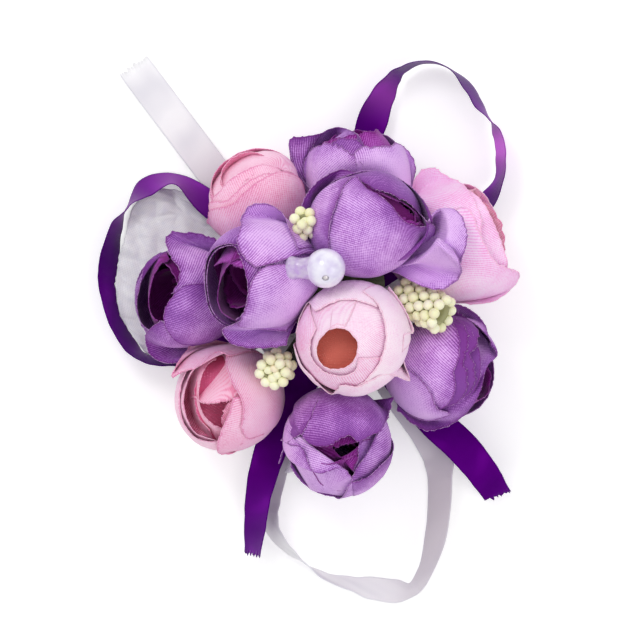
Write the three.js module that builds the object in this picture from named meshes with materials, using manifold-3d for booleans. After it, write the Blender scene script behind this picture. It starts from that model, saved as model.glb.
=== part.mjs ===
// A wrist corsage: ten wrapped fabric rosebuds on taped stems, stamen pips and a pearl,
// over a felt pad with a purple ribbon bow, organza and a white ribbon that ties on the wrist.
// Millimetres. +Z points from the wrist to the flowers, and the pad's underside is z = 0.

import * as THREE from "three";
import { mergeVertices } from "three/addons/utils/BufferGeometryUtils.js";
import Module from "manifold-3d";

const wasm = await Module();
wasm.setup();

// Driving dimensions
const budRadius = 13.5;
const budLength = 32;
const petalThickness = 0.5;
const petalLayerStep = 1.05;
const heartPitch = 1.5;
const fitGap = 0.3;
const ribbonWidth = 10;
const ribbonThickness = 0.5;
const ribbonLayerStep = 0.85;
const padRadius = 26;
const padThickness = 1.5;
const padBevel = 0.3;
const bundleRadius = 15;
const bundleHeight = 11;
const tapedWireRadius = 1;
const calyxRadius = 3.4;
const calyxHeight = 4;
const pearlRadius = 5.9;
const pearlBoreRadius = 1;
const pearlWireRadius = 0.5;
const glueLength = 12;
const glueRadius = 3.8;
const pipRadius = 1.45;
const pipSpacing = 2.95;
const organzaThickness = 0.5;
const organzaCrinkleHeight = 0.6;

const degrees = (angle) => (angle * Math.PI) / 180;

// Heights of the layers held between the pad and the stem bundle
const wristTieHeight = padThickness + fitGap + ribbonThickness / 2;
const bowHeight = wristTieHeight + ribbonLayerStep;
const tailHeight = bowHeight + ribbonLayerStep;
const bundleFoot = tailHeight + ribbonThickness / 2 + fitGap;

// The buds are packed side by side, so the cluster follows their mean reach from the middle.
// Leaning buds of the outer ring clear the curling ribbons, the crown buds rise over the ring,
// and the pearl nestles between those.
const ringLean = 34;
const ribbonCurlShare = 0.267;
const clusterShare = 3.695;
const crownRiseShare = 1.39;
const pearlRiseShare = 0.949;
const budReach = (budRadius + budLength / 2) / 2;
const leaningLength = (budLength / 2) * Math.sin(degrees(ringLean));
const leaningWidth = budRadius * Math.cos(degrees(ringLean));
const clusterRadius = clusterShare * budReach;
const ringHeight = bowHeight + Math.hypot(leaningLength, leaningWidth) + ribbonCurlShare * ribbonWidth;
const crownHeight = ringHeight + crownRiseShare * budReach;
const pearlHeight = crownHeight + pearlRiseShare * budReach;

// Facets of each kind of form
const petalSteps = { across: 6, along: 3 };
const openPetalSteps = { across: 12, along: 4 };
const heartSteps = { around: 12, along: 2 };
const ribbonStepsAcross = 1;
const fanSteps = { around: 18, out: 3 };
const stemSteps = 3;
const pearlWireSteps = 8;
const pearlSteps = 8;
const rodSides = 5;
const cupSides = 8;
const bundleSides = 12;
const roomSides = 16;
const pearlSides = 16;
const padSides = 20;

// Finishes
const finish = (colour, roughness, metalness = 0) =>
  new THREE.MeshStandardMaterial({ color: colour, roughness, metalness, side: THREE.DoubleSide });
const finishes = {
  purplePetal: finish("#b283d2", 0.75),
  purpleHeart: finish("#5e1468", 0.8),
  pinkPetal: finish("#eca3c6", 0.75),
  palePetal: finish("#f6cfe4", 0.75),
  pinkHeart: finish("#d77f92", 0.8),
  stemTape: finish("#3f4a2c", 0.8),
  pip: finish("#ecebc0", 0.6),
  pearl: finish("#efe9f6", 0.15, 0.1),
  wire: finish("#c9c9c4", 0.35, 0.9),
  glue: finish("#e6dcf3", 0.2),
  purpleRibbon: finish("#64008a", 0.35),
  whiteRibbon: finish("#ece9ec", 0.4),
  organza: finish("#e3e8ef", 0.5),
  felt: finish("#f2f0f2", 0.95),
};

// Blends and places
const blend = (from, to, share) => from + (to - from) * share;
const smooth = (share) => {
  const clamped = Math.min(Math.max(share, 0), 1);
  return clamped * clamped * (3 - 2 * clamped);
};
const placeAt = ([xShare, yShare], height) =>
  new THREE.Vector3(xShare * clusterRadius, yShare * clusterRadius, height);

// A direction from its degrees round the cluster and up from the pad
function directionAt(plan, tilt) {
  const level = Math.cos(degrees(tilt));
  const x = level * Math.cos(degrees(plan));
  const y = level * Math.sin(degrees(plan));
  return new THREE.Vector3(x, y, Math.sin(degrees(tilt)));
}

const mergeGap = petalThickness / 1000;
const surfaceStepShare = 0.001;

// A closed geometry becomes a solid for joining and cutting, and comes back as a geometry
function toSolid(geometry) {
  const bare = geometry.clone();
  bare.deleteAttribute("normal");
  bare.deleteAttribute("uv");
  const merged = mergeVertices(bare, mergeGap);
  const vertProperties = new Float32Array(merged.attributes.position.array);
  const triVerts = new Uint32Array(merged.index.array);
  return new wasm.Manifold(new wasm.Mesh({ numProp: 3, vertProperties, triVerts }));
}

function toGeometry(solid) {
  const mesh = solid.getMesh();
  const positions = new Float32Array(mesh.vertProperties);
  const geometry = new THREE.BufferGeometry();
  geometry.setAttribute("position", new THREE.BufferAttribute(positions, mesh.numProp));
  geometry.setIndex(new THREE.BufferAttribute(new Uint32Array(mesh.triVerts), 1));
  geometry.computeVertexNormals();
  return geometry;
}

const cutBy = (solid, rooms) => rooms.reduce((left, room) => left.subtract(room), solid);

// A cut can leave a sliver of a petal on the far side of the cutter: the main piece is kept
function mainPiece(solid) {
  const pieces = solid.decompose();
  pieces.sort((a, b) => b.volume() - a.volume());
  return pieces[0];
}

// The sheet that follows surface(across, along), both from 0 to 1, with its thickness to both sides
function sheet(surface, acrossSteps, alongSteps, thickness) {
  const positions = [];
  const columns = acrossSteps + 1;
  const layerSize = columns * (alongSteps + 1);
  for (const side of [1, -1]) {
    for (let row = 0; row <= alongSteps; row++) {
      for (let column = 0; column <= acrossSteps; column++) {
        const across = column / acrossSteps;
        const along = row / alongSteps;
        const point = surface(across, along);
        const normal = sheetNormal(surface, across, along);
        point.addScaledVector(normal, (side * thickness) / 2);
        positions.push(point.x, point.y, point.z);
      }
    }
  }
  const faces = [];
  const quad = (a, b, c, d) => faces.push(a, b, c, a, c, d);
  for (let row = 0; row < alongSteps; row++) {
    for (let column = 0; column < acrossSteps; column++) {
      const corner = row * columns + column;
      const above = corner + columns;
      quad(corner, corner + 1, above + 1, above);
      quad(layerSize + corner, layerSize + above, layerSize + above + 1, layerSize + corner + 1);
    }
  }
  for (let column = 0; column < acrossSteps; column++) {
    const top = alongSteps * columns + column;
    quad(column, layerSize + column, layerSize + column + 1, column + 1);
    quad(top + 1, layerSize + top + 1, layerSize + top, top);
  }
  for (let row = 0; row < alongSteps; row++) {
    const left = row * columns;
    const right = left + acrossSteps;
    quad(left + columns, layerSize + left + columns, layerSize + left, left);
    quad(right, layerSize + right, layerSize + right + columns, right + columns);
  }
  const geometry = new THREE.BufferGeometry();
  geometry.setAttribute("position", new THREE.BufferAttribute(new Float32Array(positions), 3));
  geometry.setIndex(faces);
  geometry.computeVertexNormals();
  return geometry;
}

function sheetNormal(surface, across, along) {
  const acrossFrom = Math.max(across - surfaceStepShare, 0);
  const acrossTo = Math.min(across + surfaceStepShare, 1);
  const alongFrom = Math.max(along - surfaceStepShare, 0);
  const alongTo = Math.min(along + surfaceStepShare, 1);
  const acrossRun = surface(acrossTo, along).sub(surface(acrossFrom, along));
  const alongRun = surface(across, alongTo).sub(surface(across, alongFrom));
  return acrossRun.cross(alongRun).normalize();
}

// A turned solid about +Z from a profile of [radius, height] points, bottom to top
function turned(profile, sides) {
  const points = profile.map(([radius, height]) => new THREE.Vector2(radius, height));
  return new THREE.LatheGeometry(points, sides).rotateX(Math.PI / 2);
}

// A round rod along a smooth curve through its points
function rod(points, radius, steps) {
  const section = new THREE.Shape();
  for (let side = 0; side < rodSides; side++) {
    const angle = (2 * Math.PI * side) / rodSides;
    const x = radius * Math.cos(angle);
    const y = radius * Math.sin(angle);
    if (side === 0) section.moveTo(x, y);
    else section.lineTo(x, y);
  }
  section.closePath();
  const extrudePath = new THREE.CatmullRomCurve3(points);
  return new THREE.ExtrudeGeometry(section, { steps, extrudePath, bevelEnabled: false });
}

// Rosebuds. placeShares: the bud's middle in the cluster. plan and tilt: degrees of its axis round
// the cluster and up from the pad. levelShare: how far it stands from the ring to the crown. Each
// outer petal has the angle of its middle round the bud, where 0 faces the viewer, half its width
// in degrees, and shares of the bud's length and radius for its top, for how far its lip opens
// and for the point at its tip.
const buds = {
  centre_pink_bud: {
    placeShares: [0.097, -0.194], levelShare: 1, plan: 223, tilt: 64, sizeShare: 1.05, mouthShare: 0.4,
    finish: "palePetal", heart: "pinkHeart",
    petalShares: [[20, 100, 1, 0, 0], [150, 80, 0.98, 0.02, 0], [-95, 75, 0.84, 0.06, 0.1]],
  },
  upper_centre_bud: {
    placeShares: [0.16, 0.411], levelShare: 1, plan: 22, tilt: 44, sizeShare: 1.02, mouthShare: 0.42,
    finish: "purplePetal", heart: "purpleHeart",
    petalShares: [[185, 80, 1, 0.05, 0.04], [20, 85, 0.97, 0, 0], [-75, 80, 0.9, 0, 0]],
    openPetals: { from: 88, to: 178, lobes: 2, footShare: 0.22, notchShare: 0.8, topShare: 1.06,
      flareShares: [0.85, 0.35] },
  },
  left_centre_bud: {
    placeShares: [-0.395, 0.136], levelShare: 1, plan: 188, tilt: 36, sizeShare: 1, mouthShare: 0.72,
    finish: "purplePetal", heart: "purpleHeart",
    petalShares: [[180, 80, 0.95, 0, 0], [75, 62, 1, 0.08, 0.05], [-45, 82, 0.95, 0.05, 0]],
  },
  top_bud: {
    placeShares: [0.13, 0.645], levelShare: 0, plan: 98, tilt: 10, sizeShare: 0.97, mouthShare: 0.5,
    finish: "purplePetal", heart: "purpleHeart",
    petalShares: [[0, 80, 0.95, 0, 0], [-100, 70, 1, 0.16, 0.08], [80, 75, 0.92, 0.04, 0]],
  },
  upper_left_pink_bud: {
    placeShares: [-0.41, 0.545], levelShare: 0, plan: 118, tilt: 34, sizeShare: 0.96, mouthShare: 0.38,
    finish: "pinkPetal", heart: "pinkHeart",
    petalShares: [[150, 80, 1, 0, 0], [45, 85, 0.97, 0, 0], [-70, 85, 0.9, 0, 0]],
  },
  right_pink_bud: {
    placeShares: [0.63, 0.315], levelShare: 0.12, plan: 12, tilt: 22, sizeShare: 1.13, mouthShare: 0.6,
    finish: "palePetal", heart: "pinkHeart",
    petalShares: [[0, 80, 0.94, 0.05, 0], [-95, 70, 1, 0.14, 0.06], [95, 70, 1, 0.2, 0.1]],
  },
  far_left_bud: {
    placeShares: [-0.815, 0.011], levelShare: 0, plan: 186, tilt: 34, sizeShare: 0.95, mouthShare: 0.58,
    finish: "purplePetal", heart: "purpleHeart",
    petalShares: [[180, 80, 1, 0.02, 0], [50, 80, 0.95, 0.04, 0.04], [-85, 75, 0.98, 0.08, 0]],
  },
  lower_left_pink_bud: {
    placeShares: [-0.58, -0.535], levelShare: 0, plan: 190, tilt: 44, sizeShare: 1, mouthShare: 0.74,
    finish: "pinkPetal", heart: "pinkHeart",
    petalShares: [[180, 80, 0.96, 0.02, 0], [70, 72, 1, 0.1, 0.12], [-45, 85, 0.97, 0.03, 0]],
  },
  bottom_bud: {
    placeShares: [0.011, -0.774], levelShare: 0.2, plan: 294, tilt: 56, sizeShare: 1.03, mouthShare: 0.42,
    finish: "purplePetal", heart: "purpleHeart",
    petalShares: [[0, 90, 1, 0, 0], [110, 80, 0.98, 0.02, 0], [-120, 80, 0.9, 0.05, 0.03]],
  },
  lower_right_bud: {
    placeShares: [0.585, -0.369], levelShare: 0.06, plan: 4, tilt: 34, sizeShare: 1, mouthShare: 0.48,
    finish: "purplePetal", heart: "purpleHeart",
    petalShares: [[180, 80, 1, 0.05, 0], [75, 75, 0.97, 0.08, 0.04], [-30, 85, 0.95, 0, 0]],
  },
};

// The bud's rounded wall: a foot, a full belly and a mouth that closes over the heart
const budFootShare = 0.16;
const bellyShare = 0.5;
const footRounding = 0.7;
const mouthRounding = 1.5;
function wallRadius(bud, heightShare) {
  const radius = budRadius * bud.sizeShare;
  if (heightShare < bellyShare) {
    const rise = Math.sin((Math.PI / 2) * (heightShare / bellyShare) ** footRounding);
    return radius * blend(budFootShare, 1, rise);
  }
  const past = Math.min((heightShare - bellyShare) / (1 - bellyShare), 1);
  return radius * blend(bud.mouthShare, 1, Math.cos((Math.PI / 2) * past ** mouthRounding));
}

// A point on the wall, pushed out square to it: how far from the axis, and how high
const wallProbeShare = 0.03;
function wallPoint(bud, heightShare, outside) {
  const length = budLength * bud.sizeShare;
  const from = Math.max(heightShare - wallProbeShare, 0);
  const to = Math.min(heightShare + wallProbeShare, 1);
  const rise = length * (to - from);
  const run = wallRadius(bud, to) - wallRadius(bud, from);
  const slope = Math.hypot(rise, run);
  const radius = wallRadius(bud, heightShare) + (outside * rise) / slope;
  return [radius, length * heightShare - (outside * run) / slope];
}

// One outer petal, wrapped round the bud with its sides rounded off and its lip eased open
const petalFootShare = 0.07;
const petalRoundShare = 0.16;
const lipShare = 0.68;
function outerPetal(bud, layer, [middle, halfWidth, topShare, openShare, tipShare]) {
  const lipOpening = openShare * budRadius * bud.sizeShare;
  return sheet((across, along) => {
    const side = 2 * across - 1;
    const rounding = petalRoundShare * Math.abs(side) ** 3;
    const tip = tipShare * (1 - Math.abs(side)) ** 2;
    const heightShare = blend(petalFootShare, topShare - rounding + tip, along);
    const angle = degrees(middle + halfWidth * side);
    const opening = lipOpening * smooth((along - lipShare) / (1 - lipShare)) * (1 - side * side);
    const [wall, height] = wallPoint(bud, Math.min(heightShare, 1), layer * petalLayerStep);
    const radius = wall + opening;
    const beyond = budLength * bud.sizeShare * Math.max(heightShare - 1, 0);
    return new THREE.Vector3(radius * Math.cos(angle), radius * Math.sin(angle), height + beyond);
  }, petalSteps.across, petalSteps.along, petalThickness);
}

// The glued foot of the bud, a small cup that holds every outer petal
const cupShare = 0.13;
const wrapDepth = (bud) => (bud.petalShares.length - 1) * petalLayerStep;
const cupRim = (bud) => wallPoint(bud, cupShare, wrapDepth(bud));
function budCup(bud) {
  const rim = cupRim(bud);
  const foot = [wallRadius(bud, 0) + wrapDepth(bud), 0];
  return turned([[0, 0], foot, rim, [0, rim[1]]], cupSides);
}

// Two loose petals, cut in one piece, that leave the side of a bud at its belly and open outward
const lobeRounding = 0.5;
const flareRounding = 1.3;
function openPetals(bud, clearance) {
  const length = budLength * bud.sizeShare;
  const radius = budRadius * bud.sizeShare;
  const open = bud.openPetals;
  const widen = clearance / radius;
  const lift = clearance / length;
  return sheet((across, along) => {
    const lobe = Math.abs(Math.sin(Math.PI * open.lobes * across)) ** lobeRounding;
    const heightShare = blend(open.footShare, blend(open.notchShare, open.topShare, lobe) + lift, along);
    const past = Math.max(heightShare - bellyShare, 0) / (1 - bellyShare);
    const flare = radius * blend(...open.flareShares, across) * past ** flareRounding;
    const wall = wallRadius(bud, Math.min(heightShare, bellyShare)) + wrapDepth(bud) + petalLayerStep;
    const angle = degrees(blend(open.from, open.to, across)) + widen * (2 * across - 1);
    const out = wall + petalThickness + flare;
    return new THREE.Vector3(out * Math.cos(angle), out * Math.sin(angle), length * heightShare);
  }, openPetalSteps.across, openPetalSteps.along, petalThickness + 2 * clearance);
}

// The room that a whole bud takes, with the gap that its neighbours keep
const roomRowShares = [0.07, 0.18, 0.32, 0.5, 0.68, 0.84, 1];
function budRoom(bud) {
  const outside = wrapDepth(bud) + petalThickness / 2 + fitGap;
  const rows = roomRowShares.map((share) => wallPoint(bud, share, outside));
  const foot = [wallRadius(bud, 0) + outside, -fitGap];
  return turned([[0, -fitGap], foot, ...rows, [0, rows[rows.length - 1][1]]], roomSides);
}

// The heart is one strip, rolled from a loose core out to the mouth, with a wavy upper edge
const heartCoreShare = 0.42;
const heartTurns = 1.6;
const heartTopShare = 0.92;
const heartRimShare = 0.96;
const heartFootShare = 0.7;
const heartLipShare = 0.88;
const heartWaveShare = 0.05;
const heartWaves = 5;
function budHeart(bud) {
  const outerRadius = wallRadius(bud, 1) - petalThickness - fitGap;
  const rolledIn = outerRadius - heartTurns * 2 * heartPitch;
  const innerRadius = Math.max(outerRadius * heartCoreShare, rolledIn);
  const foot = cupRim(bud)[1] + fitGap;
  const top = budLength * bud.sizeShare * heartTopShare;
  return sheet((across, along) => {
    const turn = 2 * Math.PI * heartTurns * across;
    const wave = 1 + heartWaveShare * Math.sin(heartWaves * turn);
    const barrel = blend(heartFootShare, 1, smooth(2 * along)) * blend(1, heartLipShare, along);
    const radius = blend(innerRadius, outerRadius, across) * barrel;
    const height = blend(foot, top * wave * blend(1, heartRimShare, across), along);
    return new THREE.Vector3(radius * Math.cos(turn), radius * Math.sin(turn), height);
  }, heartSteps.around, heartSteps.along, petalThickness);
}

// The bud's own frame: +Z along its axis, +X on the side that faces the viewer
function budFrame(bud) {
  const axis = directionAt(bud.plan, bud.tilt);
  const face = directionAt(bud.plan + 180, 90 - bud.tilt);
  const side = new THREE.Vector3().crossVectors(axis, face);
  const middle = placeAt(bud.placeShares, blend(ringHeight, crownHeight, bud.levelShare));
  const foot = middle.addScaledVector(axis, (-budLength * bud.sizeShare) / 2);
  const frame = new THREE.Matrix4().makeBasis(face, side, axis).setPosition(foot);
  return { frame, axis, foot };
}

// The bundle of taped stems, a low dome that stands on the bow
const bundlePlaceShares = [0, 0.06];
const bundleRowShares = [0, 0.35, 0.7, 0.9, 1];
const bundleMiddle = placeAt(bundlePlaceShares, bundleFoot);
function bundle(clearance) {
  const rows = bundleRowShares.map((share) => [
    (bundleRadius + clearance) * Math.cos((Math.PI / 2) * share * share),
    (bundleHeight + clearance) * share,
  ]);
  return turned([[0, 0], ...rows], bundleSides).translate(...bundleMiddle.toArray());
}

// A stem leaves the bundle, bends over and meets the foot of what it carries along its axis
const stemBendShare = 0.6;
function stemRoute({ foot, axis, run, fromShare, endShare, bendShares }) {
  const start = bundleMiddle.clone().lerp(foot, fromShare);
  start.z = bundleMiddle.z + bundleHeight / 2;
  const end = foot.clone().addScaledVector(axis, -run);
  const bend = start.clone().lerp(end, stemBendShare);
  if (bendShares) bend.copy(placeAt(bendShares, bend.z));
  return [start, bend, end, foot.clone().addScaledVector(axis, -run * endShare)];
}

// A bud's stem: the taped wire, and the little calyx that swells under the bud
const budStemFootShare = 0.25;
const stemInCalyxShare = 0.5;
const calyxEdgeShare = 0.25;
function budStem({ frame, axis, foot }, clearance) {
  const wire = tapedWireRadius + clearance;
  const calyx = turned([
    [0, -calyxHeight - fitGap],
    [wire, -calyxHeight - fitGap],
    [calyxRadius + clearance, -fitGap - calyxEdgeShare * calyxHeight],
    [calyxRadius + clearance, -fitGap],
    [0, -fitGap],
  ], rodSides);
  const way = { foot, axis, run: calyxHeight, fromShare: budStemFootShare, endShare: stemInCalyxShare };
  return toSolid(calyx.applyMatrix4(frame)).add(toSolid(rod(stemRoute(way), wire, stemSteps)));
}

const group = new THREE.Group();
function addPiece(name, geometry, finishName) {
  const mesh = new THREE.Mesh(geometry, finishes[finishName]);
  mesh.name = name;
  group.add(mesh);
}

const bundleRoom = toSolid(bundle(fitGap));
const rooms = {};
const stemRooms = [];
const budSolids = {};
for (const [name, bud] of Object.entries(buds)) {
  const placed = budFrame(bud);
  const place = (geometry) => toSolid(geometry.applyMatrix4(placed.frame));
  rooms[name] = place(budRoom(bud));
  const petals = bud.petalShares.map((petal, layer) => place(outerPetal(bud, layer, petal)));
  const outer = petals.reduce((joined, petal) => joined.add(petal), place(budCup(bud)));
  budSolids[name] = { outer, heart: place(budHeart(bud)), stem: budStem(placed, 0) };
  stemRooms.push(budStem(placed, fitGap));
}

const pearlPlaceShares = [-0.051, 0.172];
const pearlPlace = placeAt(pearlPlaceShares, pearlHeight);
const pearlBall = new THREE.SphereGeometry(pearlRadius + fitGap, roomSides, pearlSteps);
const pearlRoom = toSolid(pearlBall.translate(...pearlPlace.toArray()));

// The pearl's wire comes up from the bundle and stands through the pearl
const wireBelowShare = 1.5;
function pearlWire(clearance) {
  const foot = bundleMiddle.clone().setZ(bundleFoot + bundleHeight / 2);
  const below = pearlPlace.clone().setZ(pearlHeight - wireBelowShare * pearlRadius);
  const bend = foot.clone().add(below).divideScalar(2).setX(bundleMiddle.x);
  const top = pearlPlace.clone().setZ(pearlHeight + pearlRadius / 2);
  return toSolid(rod([foot, bend, below, pearlPlace, top], pearlWireRadius + clearance, pearlWireSteps));
}

// Buds earlier in the list sit in front: each later one gives way where they press together
const inFront = [pearlRoom, pearlWire(fitGap), bundleRoom];
for (const [name, solids] of Object.entries(budSolids)) {
  const bud = buds[name];
  addPiece(`${name}_outer_petals`, toGeometry(mainPiece(cutBy(solids.outer, inFront))), bud.finish);
  addPiece(`${name}_heart_petals`, toGeometry(mainPiece(cutBy(solids.heart, inFront))), bud.heart);
  inFront.push(rooms[name]);
  if (bud.openPetals) {
    const { frame } = budFrame(bud);
    const open = toSolid(openPetals(bud, 0).applyMatrix4(frame));
    addPiece(`${name}_open_petals`, toGeometry(mainPiece(cutBy(open, inFront))), bud.finish);
    inFront.push(toSolid(openPetals(bud, fitGap).applyMatrix4(frame)));
  }
  const otherRooms = Object.keys(rooms).filter((other) => other !== name).map((other) => rooms[other]);
  const stem = cutBy(solids.stem, [bundleRoom, ...otherRooms]);
  addPiece(`${name}_stem`, toGeometry(mainPiece(stem)), "stemTape");
}
addPiece("stem_bundle", bundle(0), "stemTape");

// Stamen pips: rows of round pips packed on a core, on a taped wire
const pipSeatShare = 0.75;
const stamenFootShare = 0.42;
const stamens = {
  upper_stamens: {
    placeShares: [-0.165, 0.411], heightShare: 1.125, plan: 95, tilt: 50, rings: 3, around: 5,
    bendShares: [-0.195, 0.281],
  },
  right_stamens: {
    placeShares: [0.475, -0.02], heightShare: 0.8625, plan: 350, tilt: 35, rings: 4, around: 9,
    bendShares: [0.288, 0.012],
  },
  left_stamens: {
    placeShares: [-0.32, -0.375], heightShare: 0.875, plan: 230, tilt: 60, rings: 3, around: 8,
    bendShares: [-0.222, -0.244],
  },
};
for (const [name, stamen] of Object.entries(stamens)) {
  const pipCircle = (stamen.around * pipSpacing) / (2 * Math.PI);
  const coreRadius = pipCircle - pipSeatShare * pipRadius;
  const rowStep = pipSpacing * Math.cos(Math.PI / 6);
  const coreTop = ((stamen.rings - 1) * rowStep) / 2;
  const coreFoot = -coreTop - pipRadius;
  const coreProfile = [[0, coreFoot], [coreRadius, coreFoot], [coreRadius, coreTop], [0, coreTop]];
  let head = toSolid(turned(coreProfile, stamen.around));
  for (let ring = 0; ring < stamen.rings; ring++) {
    for (let pip = 0; pip < stamen.around; pip++) {
      const angle = (2 * Math.PI * (pip + (ring % 2) / 2)) / stamen.around;
      const ball = new THREE.IcosahedronGeometry(pipRadius, 0);
      ball.translate(pipCircle * Math.cos(angle), pipCircle * Math.sin(angle), ring * rowStep - coreTop);
      head = head.add(toSolid(ball));
    }
  }
  const axis = directionAt(stamen.plan, stamen.tilt);
  const middle = placeAt(stamen.placeShares, stamen.heightShare * crownHeight);
  const foot = middle.clone().addScaledVector(axis, coreFoot - fitGap);
  const turn = new THREE.Quaternion().setFromUnitVectors(new THREE.Vector3(0, 0, 1), axis);
  const placedHead = toGeometry(head).applyQuaternion(turn).translate(...middle.toArray());
  addPiece(`${name}_pips`, toGeometry(mainPiece(cutBy(toSolid(placedHead), inFront))), "pip");
  const way = { foot, axis, run: pipRadius, fromShare: stamenFootShare, endShare: 0, ...stamen };
  const wire = toSolid(rod(stemRoute(way), tapedWireRadius, stemSteps));
  addPiece(`${name}_stem`, toGeometry(mainPiece(cutBy(wire, [...inFront, ...stemRooms]))), "stemTape");
}

// The pearl is drilled through for its wire
const boreAngle = Math.asin(pearlBoreRadius / pearlRadius);
const pearlProfile = [];
for (let step = 0; step <= pearlSteps; step++) {
  const angle = blend(boreAngle, Math.PI - boreAngle, step / pearlSteps);
  pearlProfile.push([pearlRadius * Math.sin(angle), -pearlRadius * Math.cos(angle)]);
}
pearlProfile.push(pearlProfile[0]);
addPiece("pearl", turned(pearlProfile, pearlSides).translate(...pearlPlace.toArray()), "pearl");

addPiece("pearl_wire", toGeometry(mainPiece(cutBy(pearlWire(0), [bundleRoom, ...stemRooms]))), "wire");

// A drop of clear glue, drawn out from the pearl to the bud on its left
const glueShoulderShares = { radius: 0.8, length: 0.6 };
const glueShoulder = [glueRadius * glueShoulderShares.radius, glueLength * glueShoulderShares.length];
const glue = turned([[0, 0], [glueRadius, 0], glueShoulder, [0, glueLength]], bundleSides);
glue.rotateY(-Math.PI / 2).translate(...pearlPlace.toArray());
const glueDrop = cutBy(toSolid(glue), [pearlRoom, rooms.left_centre_bud]);
addPiece("pearl_glue_drop", toGeometry(mainPiece(glueDrop)), "glue");

// Ribbons. Each stop on a ribbon's way: its middle as shares of the cluster's radius, its height
// as a share of the ribbon's width above where it is held, and how far it leans, in degrees:
// 0 lies flat, 90 stands on edge.
const ribbons = {
  bow_left_loop: {
    held: bowHeight, finish: "purpleRibbon", steps: 40,
    stopShares: [
      [-0.18, 0.135, 0, 0], [-0.4, 0.3, 0.08, 6], [-0.68, 0.52, 0.36, 42], [-0.868, 0.657, 0.42, 72],
      [-1.015, 0.614, 0.4, 56], [-1.125, 0.5, 0.38, 88], [-1.185, 0.385, 0.36, 112],
      [-1.223, 0.206, 0.34, 126], [-1.226, 0.1, 0.33, 127], [-1.19, -0.076, 0.32, 122],
      [-1.118, -0.23, 0.34, 116], [-1.04, -0.31, 0.34, 105], [-0.9, -0.325, 0.3, 110],
      [-0.66, -0.26, 0.06, 170], [-0.225, -0.08, 0, 180],
    ],
  },
  bow_right_loop: {
    held: bowHeight, finish: "purpleRibbon", steps: 44,
    stopShares: [
      [0.045, 0.225, 0, 0], [0.1, 0.5, 0, 0], [0.14, 0.71, 0.02, 3], [0.173, 0.869, 0.25, 34],
      [0.205, 0.974, 0.32, 26], [0.26, 1.104, 0.4, 45], [0.317, 1.2, 0.44, 65], [0.374, 1.25, 0.46, 78],
      [0.484, 1.288, 0.46, 85], [0.612, 1.256, 0.44, 90], [0.72, 1.153, 0.44, 105],
      [0.774, 1.066, 0.44, 105], [0.834, 0.98, 0.42, 92], [0.877, 0.904, 0.4, 75],
      [0.896, 0.828, 0.38, 73], [0.898, 0.758, 0.36, 73], [0.89, 0.655, 0.34, 75],
      [0.815, 0.528, 0.25, 58], [0.74, 0.47, 0.08, 18], [0.6, 0.385, 0, 0], [0.193, 0.13, -0.06, 0],
    ],
  },
  bow_left_tail: {
    held: tailHeight, finish: "purpleRibbon", steps: 16,
    stopShares: [
      [-0.09, -0.21, 0, 0], [-0.16, -0.38, 0, 0], [-0.23, -0.55, 0.06, 3], [-0.34, -0.79, 0.42, 18],
      [-0.385, -0.93, 0.6, 30], [-0.42, -1.088, 0.64, 43], [-0.43, -1.212, 0.52, 50],
      [-0.447, -1.37, 0.44, 62],
    ],
  },
  bow_right_tail: {
    held: tailHeight, finish: "purpleRibbon", steps: 14,
    stopShares: [
      [0.15, -0.175, 0, 0], [0.32, -0.385, 0, 0], [0.44, -0.54, 0.1, 0], [0.547, -0.666, 0.48, 8],
      [0.687, -0.796, 0.58, 8], [0.798, -0.931, 0.4, 24], [0.88, -1.056, 0.28, 38],
    ],
  },
  wrist_tie_end: {
    held: wristTieHeight, finish: "whiteRibbon", steps: 14,
    stopShares: [
      [-0.12, -0.02, 0, 0], [-0.35, 0.285, 0, 0], [-0.5, 0.483, -0.04, 0], [-0.66, 0.695, -0.12, 0],
      [-0.875, 0.981, -0.12, 2], [-1.085, 1.261, -0.09, 4],
    ],
  },
  wrist_tie_loop: {
    held: wristTieHeight, finish: "whiteRibbon", steps: 60,
    stopShares: [
      [0.105, -0.15, 0, 0], [0.36, -0.52, 0, 0], [0.51, -0.74, 0, 14], [0.562, -0.87, 0.12, 30],
      [0.568, -0.97, 0.24, 44], [0.568, -1.056, 0.25, 46], [0.552, -1.245, 0.28, 50],
      [0.485, -1.475, 0.34, 64], [0.42, -1.565, 0.35, 66], [0.32, -1.575, 0.28, 45],
      [0.2, -1.56, 0.28, 48], [0.085, -1.535, 0.34, 66], [-0.055, -1.495, 0.36, 78],
      [-0.165, -1.42, 0.36, 92], [-0.245, -1.36, 0.36, 103], [-0.325, -1.265, 0.34, 112],
      [-0.36, -1.175, 0.26, 125], [-0.37, -1.09, 0.16, 146], [-0.35, -0.94, 0.04, 165],
      [-0.24, -0.6, 0, 180], [-0.07, -0.185, 0, 180],
    ],
  },
};

function ribbonStrip(ribbon) {
  const stops = ribbon.stopShares.map(([x, y, height, lean]) => ({
    middle: placeAt([x, y], ribbon.held + height * ribbonWidth),
    lean: degrees(lean),
  }));
  const way = new THREE.CatmullRomCurve3(stops.map((stop) => stop.middle), false, "centripetal");
  const last = stops.length - 1;
  return sheet((across, along) => {
    const from = Math.min(Math.floor(along * last), last - 1);
    const lean = blend(stops[from].lean, stops[from + 1].lean, smooth(along * last - from));
    const middle = way.getPoint(along);
    const heading = way.getTangent(along);
    const edge = new THREE.Vector3(-heading.y, heading.x, 0).setLength(Math.cos(lean));
    edge.z = Math.sin(lean);
    return middle.addScaledVector(edge, ribbonWidth / 2 - across * ribbonWidth);
  }, ribbonStepsAcross, ribbon.steps, ribbonThickness);
}
for (const [name, ribbon] of Object.entries(ribbons)) addPiece(name, ribbonStrip(ribbon), ribbon.finish);

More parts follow.
